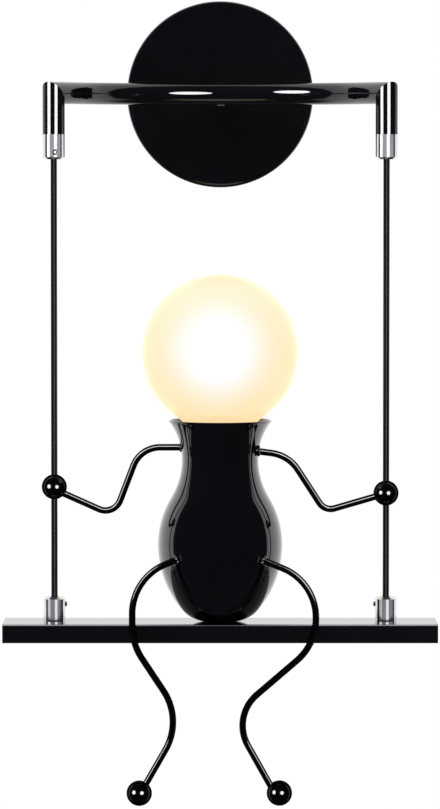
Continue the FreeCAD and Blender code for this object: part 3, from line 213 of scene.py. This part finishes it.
def mixShaders(tree, share, first, second):
    node = tree.nodes.new("ShaderNodeMixShader")
    for value, slot in zip((share, first, second), node.inputs):
        tree.links.new(value, slot)
    return node.outputs[0]


def makeWorld(setup):
    # white to the camera; to gloss a white wall side and a dark room; to matt surfaces one level all round
    world = bpy.data.worlds.new("studioWorld")
    bpy.context.scene.world = world
    world.use_nodes = True
    tree = world.node_tree
    tree.nodes.clear()
    direction = tree.nodes.new("ShaderNodeTexCoord")
    parts = tree.nodes.new("ShaderNodeSeparateXYZ")
    tree.links.new(direction.outputs["Generated"], parts.inputs[0])
    back = fadeIn(tree, parts.outputs["Y"], setup["edge"])
    high = fadeIn(tree, parts.outputs["Z"], setup["below"])
    seen = tree.nodes.new("ShaderNodeMix")
    seen.data_type = "RGBA"
    seen.inputs["A"].default_value = (*setup["roomSeen"], 1)
    seen.inputs["B"].default_value = (setup["wallSeen"],) * 3 + (1,)
    tree.links.new(joinMath(tree, "MULTIPLY", back, high), seen.inputs["Factor"])
    inGloss = background(tree, 1)
    tree.links.new(seen.outputs["Result"], inGloss.inputs["Color"])
    onMatt = background(tree, setup["roomLight"])
    backdrop = background(tree, 1)
    path = tree.nodes.new("ShaderNodeLightPath")
    bounced = mixShaders(tree, path.outputs["Is Glossy Ray"], onMatt.outputs[0], inGloss.outputs[0])
    straight = joinMath(tree, "MAXIMUM", path.outputs["Is Camera Ray"], path.outputs["Is Transmission Ray"])
    out = tree.nodes.new("ShaderNodeOutputWorld")
    tree.links.new(mixShaders(tree, straight, bounced, backdrop.outputs[0]), out.inputs["Surface"])


def makeFloor(setup):
    mesh = bpy.data.meshes.new("floor")
    bm = bmesh.new()
    bmesh.ops.create_grid(bm, x_segments=2, y_segments=2, size=setup["half"])
    bmesh.ops.translate(bm, verts=bm.verts, vec=(0, setup["back"] - setup["half"], setup["height"]))
    bm.to_mesh(mesh)
    bm.free()
    floor = bpy.data.objects.new("floor", mesh)
    bpy.context.collection.objects.link(floor)
    floor.visible_glossy = False
    mat = bpy.data.materials.new("floorPaper")
    mat.use_nodes = True
    nodes, links = mat.node_tree.nodes, mat.node_tree.links
    nodes.clear()
    sheet = nodes.new("ShaderNodeBsdfDiffuse")
    sheet.inputs["Color"].default_value = (setup["grey"],) * 3 + (1,)
    glow = nodes.new("ShaderNodeEmission")
    path = nodes.new("ShaderNodeLightPath")
    lift = nodes.new("ShaderNodeMath")
    lift.operation = "MULTIPLY"
    lift.inputs[1].default_value = setup["lift"]
    links.new(path.outputs["Is Camera Ray"], lift.inputs[0])
    links.new(lift.outputs[0], glow.inputs["Strength"])
    both = nodes.new("ShaderNodeAddShader")
    links.new(sheet.outputs[0], both.inputs[0])
    links.new(glow.outputs[0], both.inputs[1])
    out = nodes.new("ShaderNodeOutputMaterial")
    links.new(both.outputs[0], out.inputs["Surface"])
    mesh.materials.append(mat)


makeWorld(studio)
lights = {name: makeCard(name, card, studio) for name, card in cards.items()}
makeFill(fill)
makeFloor(paper)
bpy.context.scene.view_settings.view_transform = "Standard"
print("studio set")


# finishes: lumps in the tone, in the shine and in the relief, each at its own size in metres

class Finish:
    # one material and the few nodes that its pattern needs

    def __init__(self, name, sockets):
        self.mat = bpy.data.materials.new(name)
        self.mat.use_nodes = True
        self.nodes = self.mat.node_tree.nodes
        self.links = self.mat.node_tree.links
        self.shader = self.nodes["Principled BSDF"]
        self.place = self.nodes.new("ShaderNodeTexCoord").outputs["Object"]
        for socket, value in sockets.items():
            if isinstance(value, tuple):
                value = (*value, 1)
            self.shader.inputs[socket].default_value = value

    def lumps(self, pattern):
        lay = self.nodes.new("ShaderNodeMapping")
        lay.inputs["Scale"].default_value = pattern.get("stretch", (1, 1, 1))
        self.links.new(self.place, lay.inputs["Vector"])
        node = self.nodes.new("ShaderNodeTexNoise")
        node.inputs["Scale"].default_value = 1 / pattern["size"]
        node.inputs["Detail"].default_value = pattern.get("detail", 3)
        self.links.new(lay.outputs[0], node.inputs["Vector"])
        return node.outputs[0]

    def remap(self, value, low, high, fromLow=0.3, fromHigh=0.7):
        # a noise lies mostly between 0.3 and 0.7
        node = self.nodes.new("ShaderNodeMapRange")
        ends = {"From Min": fromLow, "From Max": fromHigh, "To Min": low, "To Max": high}
        for name, number in ends.items():
            node.inputs[name].default_value = number
        self.links.new(value, node.inputs["Value"])
        return node.outputs[0]

    def tint(self, value, dark, light):
        node = self.nodes.new("ShaderNodeMix")
        node.data_type = "RGBA"
        node.inputs["A"].default_value = (*dark, 1)
        node.inputs["B"].default_value = (*light, 1)
        self.links.new(value, node.inputs["Factor"])
        self.feed(node.outputs["Result"], "Base Color")

    def feed(self, value, socket):
        self.links.new(value, self.shader.inputs[socket])

    def math(self, kind, first, second):
        node = self.nodes.new("ShaderNodeMath")
        node.operation = kind
        for slot, value in zip(node.inputs, (first, second)):
            if isinstance(value, (int, float)):
                slot.default_value = value
            else:
                self.links.new(value, slot)
        return node.outputs[0]

    def axes(self):
        parts = self.nodes.new("ShaderNodeSeparateXYZ")
        self.links.new(self.place, parts.inputs[0])
        return parts.outputs

    def bump(self, height, depth):
        node = self.nodes.new("ShaderNodeBump")
        node.inputs["Strength"].default_value = 1.0
        node.inputs["Distance"].default_value = depth
        self.links.new(height, node.inputs["Height"])
        self.feed(node.outputs[0], "Normal")


def makeFinish(setup):
    f = Finish(setup["name"], setup["sockets"])
    tone, relief = setup.get("tone"), setup.get("relief")
    if tone:
        f.tint(f.remap(f.lumps(tone), 0, 1), tone["from"], tone["to"])
    for pattern, socket in (("shine", "Roughness"), ("glow", "Emission Strength")):
        if pattern in setup:
            values = setup[pattern]
            f.feed(f.remap(f.lumps(values), values["from"], values["to"]), socket)
    if relief:
        f.bump(f.lumps(relief), relief["depth"])
    return f.mat


def zincPlate(name):
    # crystalline blotches, slightly dull
    return {
        "name": name,
        "sockets": {"Metallic": 1.0, "Roughness": 0.32},
        "tone": {"size": 0.003, "detail": 5, "from": (0.50, 0.51, 0.53), "to": (0.68, 0.68, 0.67)},
        "shine": {"size": 0.0015, "detail": 5, "from": 0.24, "to": 0.42},
        "relief": {"size": 0.0004, "depth": 0.000004},
    }


def softPlastic(name, dark, light, rough):
    return {
        "name": name,
        "sockets": {"Roughness": rough, "IOR": 1.46},
        "tone": {"size": 0.006, "detail": 4, "from": dark, "to": light},
        "shine": {"size": 0.002, "from": rough * 0.8, "to": rough * 1.2},
        "relief": {"size": 0.0006, "detail": 2, "depth": 0.000006},
    }


dust = {"size": 0.02, "detail": 4, "from": 0.03, "to": 0.05}
orangePeel = {"size": 0.0035, "detail": 2, "depth": 0.0000008}
finishSetup = {
    "gloss_black": {
        "name": "glossLacquer",
        "sockets": {"IOR": 1.5, "Roughness": 0.05},
        "tone": {"size": 0.045, "from": (0.0026, 0.0027, 0.0038), "to": (0.0042, 0.0043, 0.0056)},
        "shine": dust,
        "relief": orangePeel,
    },
    "body": {  # the body's black lies under a clear coat, so its sides mirror more of the wall
        "name": "bodyLacquer",
        "sockets": {"IOR": 1.5, "Roughness": 0.05,
                    "Coat Weight": 0.75, "Coat IOR": 1.5, "Coat Roughness": 0.04},
        "tone": {"size": 0.045, "from": (0.0008, 0.0008, 0.0016), "to": (0.0018, 0.0018, 0.0028)},
        "shine": dust,
        "relief": orangePeel,
    },
    "rods": {  # baked thinner on rods and balls, whose edges stay dark against the wall
        "name": "rodLacquer",
        "sockets": {"Metallic": 1.0, "Roughness": 0.1, "Specular Tint": (0.0, 0.0, 0.0)},
        "tone": {"size": 0.03, "from": (0.034, 0.034, 0.036), "to": (0.044, 0.044, 0.047)},
        "shine": {"size": 0.012, "detail": 4, "from": 0.09, "to": 0.12},
        "relief": orangePeel,
    },
    "cord_black": {  # smooth sheath with faint drawn lines along it
        "name": "cordSheath",
        "sockets": {"Roughness": 0.38, "IOR": 1.46, "Specular IOR Level": 0.3},
        "tone": {"size": 0.012, "detail": 4, "from": (0.0035, 0.0035, 0.004), "to": (0.006, 0.006, 0.0065)},
        "shine": {"size": 0.0012, "stretch": (1, 1, 0.03), "from": 0.30, "to": 0.42},
        "relief": {"size": 0.0007, "detail": 2, "stretch": (1, 1, 0.02), "depth": 0.0000015},
    },
    "chrome": {  # fine lathe lines round the upright axis
        "name": "satinChrome",
        "sockets": {"Metallic": 1.0, "Roughness": 0.16},
        "tone": {"size": 0.006, "from": (0.74, 0.75, 0.78), "to": (0.82, 0.82, 0.84)},
        "shine": {"size": 0.0006, "detail": 2, "stretch": (0.02, 0.02, 1), "from": 0.10, "to": 0.17},
        "relief": {"size": 0.0004, "detail": 2, "stretch": (0.01, 0.01, 1), "depth": 0.0000004},
    },
    "screws": {  # bright zinc, turned smooth
        "name": "screwZinc",
        "sockets": {"Metallic": 1.0, "Roughness": 0.14},
        "tone": {"size": 0.0012, "detail": 4, "from": (0.60, 0.61, 0.63), "to": (0.74, 0.74, 0.75)},
        "shine": {"size": 0.0006, "from": 0.11, "to": 0.18},
        "relief": {"size": 0.0003, "detail": 2, "depth": 0.0000008},
    },
    "brass": {
        "name": "brassPlate",
        "sockets": {"Metallic": 1.0, "Roughness": 0.28},
        "tone": {"size": 0.004, "detail": 4, "from": (0.62, 0.43, 0.16), "to": (0.82, 0.62, 0.28)},
        "shine": {"size": 0.0012, "detail": 4, "from": 0.2, "to": 0.38},
        "relief": {"size": 0.0003, "depth": 0.000003},
    },
    "holder_ceramic": {
        "name": "glazedCeramic",
        "sockets": {"Roughness": 0.15, "IOR": 1.52},
        "tone": {"size": 0.004, "detail": 4, "from": (0.74, 0.72, 0.66), "to": (0.84, 0.83, 0.79)},
        "relief": {"size": 0.001, "depth": 0.00001},
    },
    "light_board": {
        "name": "lightBoard",
        "sockets": {"Base Color": (0.45, 0.36, 0.16), "Roughness": 0.5, "Emission Color": (1.0, 0.72, 0.30)},
        "glow": {"size": 0.003, "from": 0.25, "to": 0.35},
    },
    "zinc_steel": zincPlate("zincPlate"),
    "cap_aluminium": zincPlate("capAluminium"),
    "wire_sleeve": softPlastic("wireSleeve", (0.20, 0.09, 0.04), (0.26, 0.12, 0.05), 0.3),
    "block_white": softPlastic("blockWhite", (0.74, 0.74, 0.71), (0.82, 0.82, 0.79), 0.4),
    "holder_black": softPlastic("holderBlack", (0.012, 0.012, 0.012), (0.022, 0.022, 0.022), 0.3),
    "cap_insulator": softPlastic("capInsulator", (0.010, 0.009, 0.009), (0.020, 0.018, 0.018), 0.15),
    "post_white": softPlastic("postWhite", (0.78, 0.78, 0.75), (0.86, 0.86, 0.83), 0.45),
}

opal = {
    "name": "opalGlass",
    "middle": (0.0, swingY, -0.158036),
    "radius": 0.0475,
    "cover": 0.92,  # how much of the light inside the glass hides
    "sockets": {"Base Color": (0.10, 0.095, 0.085), "IOR": 1.5, "Specular IOR Level": 0.12},
    "glowAt": (0.05, 0.48, 0.92),  # up the globe: near the neck, at the belt, near the top
    "low": (0.98, 0.74, 0.40),
    "belt": (0.96, 0.76, 0.45),
    "high": (0.94, 0.79, 0.51),
    "clouds": {"size": 0.012},
    "cloudy": (0.985, 1.0),
    "shine": (0.26, 0.34),
    "heartAt": (-0.0014, swingY, -0.1576),
    "heart": (0.03, 0.32, 0.9),  # what the light inside adds towards the middle
    "heartLevel": 220.0,
    "heartFall": 2.5,  # how fast it fades outwards
}


def opalGlass(setup):
    # lit opal glass: warm at the neck, paler above, and filled with a glow that is strongest in the middle
    f = Finish(setup["name"], setup["sockets"])
    f.shader.inputs["Alpha"].default_value = setup["cover"]
    f.shader.inputs["Emission Strength"].default_value = 1.0
    axes = f.axes()
    glow = f.nodes.new("ShaderNodeValToRGB")
    glow.color_ramp.interpolation = "EASE"
    first, last = glow.color_ramp.elements
    first.position, beltAt, last.position = setup["glowAt"]
    first.color = (*setup["low"], 1)
    last.color = (*setup["high"], 1)
    glow.color_ramp.elements.new(beltAt).color = (*setup["belt"], 1)
    low, high = (setup["middle"][2] + side * setup["radius"] for side in (-1, 1))
    f.links.new(f.remap(axes[2], 0, 1, low, high), glow.inputs[0])
    clouds = f.lumps(setup["clouds"])
    shade = f.nodes.new("ShaderNodeVectorMath")
    shade.operation = "SCALE"
    f.links.new(glow.outputs["Color"], shade.inputs[0])
    f.links.new(f.remap(clouds, *setup["cloudy"]), shade.inputs["Scale"])
    f.feed(shade.outputs[0], "Emission Color")
    f.feed(f.remap(clouds, *setup["shine"]), "Roughness")
    squares = []
    for axis, at in zip(axes, setup["heartAt"]):
        far = f.math("SUBTRACT", axis, at)
        squares.append(f.math("MULTIPLY", far, far))
    reach = f.math("ADD", f.math("ADD", squares[0], squares[1]), squares[2])
    near = f.remap(reach, 1.0, 0.0, 0.0, setup["radius"] ** 2)
    level = f.math("MULTIPLY", f.math("POWER", near, setup["heartFall"]), setup["heartLevel"])
    heart = f.nodes.new("ShaderNodeEmission")
    heart.inputs["Color"].default_value = (*setup["heart"], 1)
    f.links.new(level, heart.inputs["Strength"])
    f.links.new(heart.outputs[0], f.nodes["Material Output"].inputs["Volume"])
    return f.mat


finishes = {slot: makeFinish(setup) for slot, setup in finishSetup.items()}
finishes["opal_glass"] = opalGlass(opal)


def dressNode(node, mat):
    for slot in node.material_slots:
        slot.link = "OBJECT"
        slot.material = mat


slotOf = {}
for part in frame["record"]["subparts"]:
    name = part["node"]
    slotOf[name] = part["material_slot"]
    limb = name.startswith(("arm", "leg", "hand_ball", "foot_ball"))
    dressNode(frame["nodes"][name], finishes["rods" if limb else slotOf[name]])
print("finishes on", len(frame["nodes"]), "nodes")


# pieces that replace or join the CAD nodes

pieces = {}


def finishPiece(name, bm, body, slot, finish=None, replaces=()):
    # finish names another entry of finishes than the slot's own
    mesh = bpy.data.meshes.new(name)
    bm.to_mesh(mesh)
    bm.free()
    mesh.shade_smooth()
    mesh.set_sharp_from_angle(angle=sharpEdge)
    mesh.materials.append(finishes[finish or slot])
    piece = bpy.data.objects.new(name, mesh)
    bpy.context.collection.objects.link(piece)
    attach(piece, body)
    if replaces:
        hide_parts(*replaces)
    slotOf[name] = slot
    pieces[name] = piece
    return piece


def addWall(piece, thickness, side=-1):
    # side -1 thickens inwards, 1 outwards
    wall = piece.modifiers.new("wall", "SOLIDIFY")
    wall.thickness = thickness
    wall.offset = side


# cords: straight and taut from the upper grips to the seat

cord = {
    "across": 0.0039,
    "points": (0, 0.5, 1),  # of the spline, as shares of the way down
    "rounding": 6,
}


def makeCord(side, x, setup):
    low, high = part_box("cord_" + side)
    top = Vector((x, swingY, high.z - setup["across"] / 2))
    end = Vector((x, swingY, low.z))
    line = bpy.data.curves.new("cord" + side.title(), "CURVE")
    line.dimensions = "3D"
    spline = line.splines.new("NURBS")
    spline.points.add(len(setup["points"]) - 1)
    for point, share in zip(spline.points, setup["points"]):
        point.co = (*top.lerp(end, share), 1)
    spline.order_u = 3
    spline.use_endpoint_u = True
    line.bevel_depth = setup["across"] / 2
    line.bevel_resolution = setup["rounding"]
    line.use_fill_caps = True
    line.materials.append(finishes["cord_black"])
    piece = bpy.data.objects.new("cord" + side.title(), line)
    bpy.context.collection.objects.link(piece)
    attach(piece, "swing")
    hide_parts("cord_" + side)
    slotOf[piece.name] = "cord_black"
    pieces[piece.name] = piece


for side, x in (("left", -cordX), ("right", cordX)):
    makeCord(side, x, cord)
print("cords made")


# body: one spun shell, drawn as the arcs of its outline, in millimetres from the seat's top

vase = {
    "hole": 5.3,
    "footCurve": 20.0,
    "bellyRadius": 38.2,
    "bellyCurve": 62.0,
    "bellyHeight": 47.2,
    "neckRadius": 23.4,
    "neckCurve": 44.0,
    "neckHeight": 99.2,
    "lipCurve": 38.0,
    "height": 123.0,
    "lipRound": 0.9,
    "wall": 1.0,
    "step": 3.0,  # length of one chord along the arcs
    "around": 64,
    "smoothing": 1,
}


def arcFrom(bm, last, middle, turn, step):
    # carries the outline's last point round an arc's middle; a turn to the left is positive
    radius = (Vector((last[0].co.x, last[0].co.z)) - Vector(middle)).length
    steps = max(2, round(abs(turn) * radius / step))
    arc = bmesh.ops.spin(bm, geom=last, cent=(middle[0], last[0].co.y, middle[1]), axis=(0, -1, 0),
                         angle=turn, steps=steps)
    return [g for g in arc["geom_last"] if isinstance(g, bmesh.types.BMVert)]


def lineFrom(bm, last, place):
    step = bmesh.ops.extrude_vert_indiv(bm, verts=last)
    step["verts"][0].co.x, step["verts"][0].co.z = place
    return step["verts"]


def spinRound(bm, steps, mergeAt=0.0005):
    # closes the seam and the poles, in millimetres
    bmesh.ops.spin(bm, geom=bm.verts[:] + bm.edges[:], cent=(0, 0, 0), axis=(0, 0, 1),
                   angle=2 * math.pi, steps=steps, use_merge=True)
    bmesh.ops.remove_doubles(bm, verts=bm.verts, dist=mergeAt)
    bmesh.ops.recalc_face_normals(bm, faces=bm.faces)


def toMetres(bm):
    bmesh.ops.scale(bm, verts=bm.verts, vec=(millimetre,) * 3)


def seatOn(bm, height):
    # from millimetres round the origin to metres on the swing's upright axis
    toMetres(bm)
    bmesh.ops.translate(bm, verts=bm.verts, vec=(0, swingY, height))


def makeVase(setup):
    foot, belly, neck = setup["footCurve"], setup["bellyCurve"], setup["neckCurve"]
    widest, waist = setup["bellyRadius"], setup["neckRadius"]
    bellyZ, neckZ = setup["bellyHeight"], setup["neckHeight"]
    bellyAt = (widest - belly, bellyZ)
    footAt = (bellyAt[0] + math.sqrt((belly - foot) ** 2 - (bellyZ - foot) ** 2), foot)
    footTurn = math.pi / 2 - math.asin((bellyZ - foot) / (belly - foot))
    out, rise = waist + neck - widest, neckZ - bellyZ
    shoulder = (out ** 2 + rise ** 2 - neck ** 2) / (2 * (neck - out))
    shoulderAt = (widest - shoulder, bellyZ)
    lean = math.asin(rise / (shoulder + neck))
    bm = bmesh.new()
    last = [bm.verts.new((setup["hole"], 0, 0))]
    last = lineFrom(bm, last, (footAt[0], 0))
    last = arcFrom(bm, last, footAt, footTurn, setup["step"])
    last = arcFrom(bm, last, bellyAt, math.pi / 2 - footTurn, setup["step"])
    last = arcFrom(bm, last, shoulderAt, lean, setup["step"])
    last = arcFrom(bm, last, (waist + neck, neckZ), -lean, setup["step"])
    flare = math.asin((setup["height"] - setup["lipRound"] - neckZ) / setup["lipCurve"])
    last = arcFrom(bm, last, (waist + setup["lipCurve"], neckZ), -flare, setup["step"])
    reach = waist + setup["lipCurve"] * (1 - math.cos(flare))
    lineFrom(bm, last, (reach + setup["lipRound"] * math.tan(flare), setup["height"]))
    spinRound(bm, setup["around"])
    seatOn(bm, seatTop)
    bmesh.ops.reverse_faces(bm, faces=bm.faces)  # the flared lip misleads the recalculation
    piece = finishPiece("bodyShell", bm, "swing", "gloss_black", "body", ("body_bowl", "body_neck"))
    addWall(piece, setup["wall"] * millimetre)
    smooth = piece.modifiers.new("smooth", "SUBSURF")
    smooth.levels = setup["smoothing"]
    smooth.render_levels = setup["smoothing"]


makeVase(vase)
print("body made")


# globe: sphere, hollow curve and neck, closed inside the cap; millimetres from the globe's middle

bulb = {
    "radius": 47.5,
    "neckRadius": 16.0,
    "neckCurve": 24.0,
    "foot": -65.6,  # where the neck ends inside the cap
    "step": 2.2,
    "around": 96,
}


def makeGlobe(setup, glass):
    radius, curve = setup["radius"], setup["neckCurve"]
    side = setup["neckRadius"] + curve
    drop = math.sqrt((radius + curve) ** 2 - side ** 2)
    lean = math.atan2(side, drop)
    bm = bmesh.new()
    last = [bm.verts.new((0, 0, radius))]
    last = arcFrom(bm, last, (0, 0), lean - math.pi, setup["step"])
    last = arcFrom(bm, last, (side, -drop), math.pi / 2 - lean, setup["step"])
    last = lineFrom(bm, last, (setup["neckRadius"], setup["foot"]))
    lineFrom(bm, last, (0, setup["foot"]))
    spinRound(bm, setup["around"])
    seatOn(bm, glass["middle"][2])
    finishPiece("globeGlass", bm, "bulb", "opal_glass", replaces=("globe",))


makeGlobe(bulb, opal)


# screw thread of cap and socket: both follow one helix, so the bulb turns free in every pose

edison = {
    "pitch": 0.003629,
    "root": 0.01215,
    "crest": 0.0130,
    "play": 0.0003,  # between cap and socket
    "sheet": 0.0004,
    "around": 48,
    "waves": 10,  # points along one pitch
    "start": -0.2592,  # below both, so that each starts on a full turn
    "mergeAt": 0.000005,
    "cutAt": 0.0000001,
    "rimBand": 0.00001,  # how near a rim's points lie to its height
}
cap = {
    "foot": 0.0014,  # from the cap's lower end up to the thread
    "footSteps": ((0.965, -0.0009), (0.94, -0.0005), (0.80, 0.0)),  # share of the width, and rise
    "rim": 0.0016,  # from the thread up to the cap's upper end
    "rimSteps": ((1.02, 0.0008), (1.0, 0.0008)),
}


def screwShell(setup, extra, low, high):
    depth = (setup["crest"] - setup["root"]) / 2
    middle = setup["root"] + depth + extra
    count = setup["waves"]
    bm = bmesh.new()
    line = []
    for k in range(count + 1):
        r = middle + depth * math.cos(2 * math.pi * k / count)
        line.append(bm.verts.new((r, swingY, setup["start"] + setup["pitch"] * k / count)))
    edges = [bm.edges.new(pair) for pair in zip(line, line[1:])]
    turns = math.ceil((high - setup["start"]) / setup["pitch"]) + 1
    steps = setup["around"] * turns
    bmesh.ops.spin(bm, geom=line + edges, cent=(0, swingY, 0), axis=(0, 0, 1),
                   dvec=(0, 0, setup["pitch"] / setup["around"]), angle=2 * math.pi * turns, steps=steps)
    bmesh.ops.remove_doubles(bm, verts=bm.verts, dist=setup["mergeAt"])
    for height, up in ((low, -1), (high, 1)):
        bmesh.ops.bisect_plane(bm, geom=bm.verts[:] + bm.edges[:] + bm.faces[:], dist=setup["cutAt"],
                               plane_co=(0, 0, height), plane_no=(0, 0, up), clear_outer=True)
    bmesh.ops.recalc_face_normals(bm, faces=bm.faces)
    return bm


def drawIn(bm, height, steps, setup):
    # carries an open rim inwards and up or down, one step after another
    for share, rise in steps:
        rim = [e for e in bm.edges if e.is_boundary and
               all(abs(v.co.z - height) < setup["rimBand"] for v in e.verts)]
        drawn = bmesh.ops.extrude_edge_only(bm, edges=rim)
        verts = [g for g in drawn["geom"] if isinstance(g, bmesh.types.BMVert)]
        bmesh.ops.scale(bm, verts=verts, vec=(share, share, 1), space=Matrix.Translation((0, -swingY, 0)))
        bmesh.ops.translate(bm, verts=verts, vec=(0, 0, rise))
        height += rise


def makeCap(setup, ends):
    low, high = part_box("bulb_cap")
    foot, rim = low.z + ends["foot"], high.z - ends["rim"]
    bm = screwShell(setup, 0.0, foot, rim)
    drawIn(bm, foot, ends["footSteps"], setup)
    drawIn(bm, rim, ends["rimSteps"], setup)
    bmesh.ops.recalc_face_normals(bm, faces=bm.faces)
    piece = finishPiece("capThread", bm, "bulb", "cap_aluminium", replaces=("bulb_cap",))
    addWall(piece, setup["sheet"])


def makeSocket(setup):
    low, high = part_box("holder_sleeve")
    bm = screwShell(setup, setup["play"], low.z, high.z)
    piece = finishPiece("socketThread", bm, "swing", slotOf["holder_sleeve"], replaces=("holder_sleeve",))
    addWall(piece, setup["sheet"], 1)


makeCap(edison, cap)
makeSocket(edison)
print("bulb and socket made")


# hand-laid welds: a ring of small puddles where a rod or the boss meets its neighbour; millimetres

weld = {
    "uneven": 0.16,  # how much the puddles differ in size
    "drift": 0.15,  # and in their distance
    "flat": 0.75,
    "around": 20,
    "rings": 12,
    "grain": 0.15,  # size of the voxels that fuse the puddles
    "melting": 16,  # rounds of smoothing
}
weldPlaces = {  # along is the direction of the rod; ring and bead are radii
    "weldArmLeft": {"at": (-24.1, -122.96, -216.2), "along": (-1, 0, 0), "ring": 1.9, "bead": 1.2,
                    "puddles": 7, "body": "swing"},
    "weldArmRight": {"at": (23.4, -129.83, -217.7), "along": (0.996, 0.087, 0), "ring": 2.0, "bead": 1.5,
                     "puddles": 7, "body": "swing"},
    "weldLegLeft": {"at": (-26.2, -150.0, -282.8), "along": (-0.92, 0, -0.39), "ring": 1.9, "bead": 1.5,
                    "puddles": 7, "body": "swing"},
    "weldLegRight": {"at": (26.1, -150.0, -283.4), "along": (0.926, 0, -0.378), "ring": 2.2, "bead": 1.6,
                     "puddles": 7, "body": "swing"},
    "weldBoss": {"at": (0.4, -37.2, 0), "along": (0, -1, 0), "ring": 6.7, "bead": 1.4,
                 "puddles": 14, "body": "wall_part"},
}


def makeWeld(name, place, setup, seed):
    # sines make each bead uneven, and the same in every run
    bm = bmesh.new()
    for k in range(place["puddles"]):
        turn = 2 * math.pi * (k + setup["drift"] * math.sin(3 * k + seed)) / place["puddles"]
        size = place["bead"] * (1 + setup["uneven"] * math.sin(5 * k + 2 * seed))
        puddle = bmesh.ops.create_uvsphere(bm, u_segments=setup["around"], v_segments=setup["rings"],
                                           radius=size)
        step = (place["ring"] * math.cos(turn), place["ring"] * math.sin(turn), 0)
        bmesh.ops.translate(bm, verts=puddle["verts"], vec=step)
    bmesh.ops.scale(bm, verts=bm.verts, vec=(1, 1, setup["flat"]))
    lean = Vector(place["along"]).to_track_quat("Z", "Y").to_matrix()
    bmesh.ops.rotate(bm, verts=bm.verts, cent=(0, 0, 0), matrix=lean)
    bmesh.ops.translate(bm, verts=bm.verts, vec=place["at"])
    toMetres(bm)
    piece = finishPiece(name, bm, place["body"], "gloss_black")
    fuse = piece.modifiers.new("fuse", "REMESH")
    fuse.mode = "VOXEL"
    fuse.voxel_size = setup["grain"] * millimetre
    fuse.use_smooth_shade = True
    melt = piece.modifiers.new("melt", "SMOOTH")
    melt.iterations = setup["melting"]


for seed, (name, place) in enumerate(weldPlaces.items()):
    makeWeld(name, place, weld, seed)
print("welds made")


# grip screws: domed heads with a hex socket; millimetres from the grip's axis outwards

gripScrew = {
    "shank": 1.5,
    "head": 1.95,
    "root": 2.2,
    "under": 6.6,
    "collar": 0.2,  # height of the head's straight edge
    "chamfer": 0.1,
    "top": 7.9,
    "domeStep": 0.25,  # length of one chord along the dome
    "socket": 0.75,
    "socketDepth": 0.55,
    "around": 36,
    "near": 0.01,  # how near a point lies to the socket's wall
}


def oneScrew(bm, setup, place, turn):
    new = bmesh.new()
    shank, head, socket = setup["shank"], setup["head"], setup["socket"]
    root, under, top = setup["root"], setup["under"], setup["top"]
    edge, floor = under - setup["collar"], top - setup["socketDepth"]
    last = [new.verts.new((0, 0, root))]
    for spot in ((shank, root), (shank, edge), (head - setup["chamfer"], edge), (head, under)):
        last = lineFrom(new, last, spot)
    dome = (head ** 2 - socket ** 2 + under ** 2 - top ** 2) / (2 * (under - top))
    turned = math.atan2(socket, top - dome) - math.atan2(head, under - dome)
    last = arcFrom(new, last, (0, dome), -turned, setup["domeStep"])
    last = lineFrom(new, last, (socket, floor))
    lineFrom(new, last, (0, floor))
    spinRound(new, setup["around"])
    for v in new.verts:  # the socket's round wall becomes a hexagon
        if abs(math.hypot(v.co.x, v.co.y) - socket) < setup["near"] and v.co.z > floor - setup["near"]:
            side = math.atan2(v.co.y, v.co.x) % (math.pi / 3) - math.pi / 6
            v.co.xy *= math.cos(math.pi / 6) / math.cos(side)
    bmesh.ops.rotate(new, verts=new.verts, cent=(0, 0, 0), matrix=Matrix.Rotation(math.pi / 2, 3, "Y"))
    bmesh.ops.rotate(new, verts=new.verts, cent=(0, 0, 0), matrix=Matrix.Rotation(math.radians(turn), 3, "Z"))
    toMetres(new)
    bmesh.ops.translate(new, verts=new.verts, vec=place)
    mesh = bpy.data.meshes.new("screwPart")
    new.to_mesh(mesh)
    new.free()
    bm.from_mesh(mesh)
    bpy.data.meshes.remove(mesh)


def makeGripScrews(level, body, turns, setup):
    # turns are the degrees to which the left and the right screw point
    node = level + "_grip_screws"
    low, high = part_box(node)
    height = (low.z + high.z) / 2
    bm = bmesh.new()
    for x, turn in zip((-cordX, cordX), turns):
        oneScrew(bm, setup, (x, swingY, height), turn)
    finishPiece(level + "GripScrews", bm, body, slotOf[node], "screws", (node,))


makeGripScrews("upper", "wall_part", (-82, 98), gripScrew)
makeGripScrews("lower", "swing", (0, 180), gripScrew)
print("grip screws made")


# which lights serve which pieces; no card serves the lit and the dull ones

def lightGroup(name):
    if "grip_screws" in name or name.endswith("GripScrews"):
        return "screws"
    if slotOf[name] == "chrome":
        return "plated"
    if slotOf[name] in ("opal_glass", "light_board"):
        return "lit"
    if name.startswith("cord"):
        return "cords"
    if name.startswith(("seat_bar", "seat_end")):
        return "seat"
    if name.startswith(("body", "canopy")):
        return "dull"
    if name == "bow_tube":
        return "bow"
    if name.startswith(("arm", "leg")):
        return name
    return "rest"


for cardName, card in cards.items():
    group = bpy.data.collections.new(cardName + "Serves")
    for name in slotOf:
        if lightGroup(name) in card["onto"]:
            group.objects.link(pieces.get(name) or frame["nodes"][name])
    lights[cardName].light_linking.receiver_collection = group
print("lights shared out")
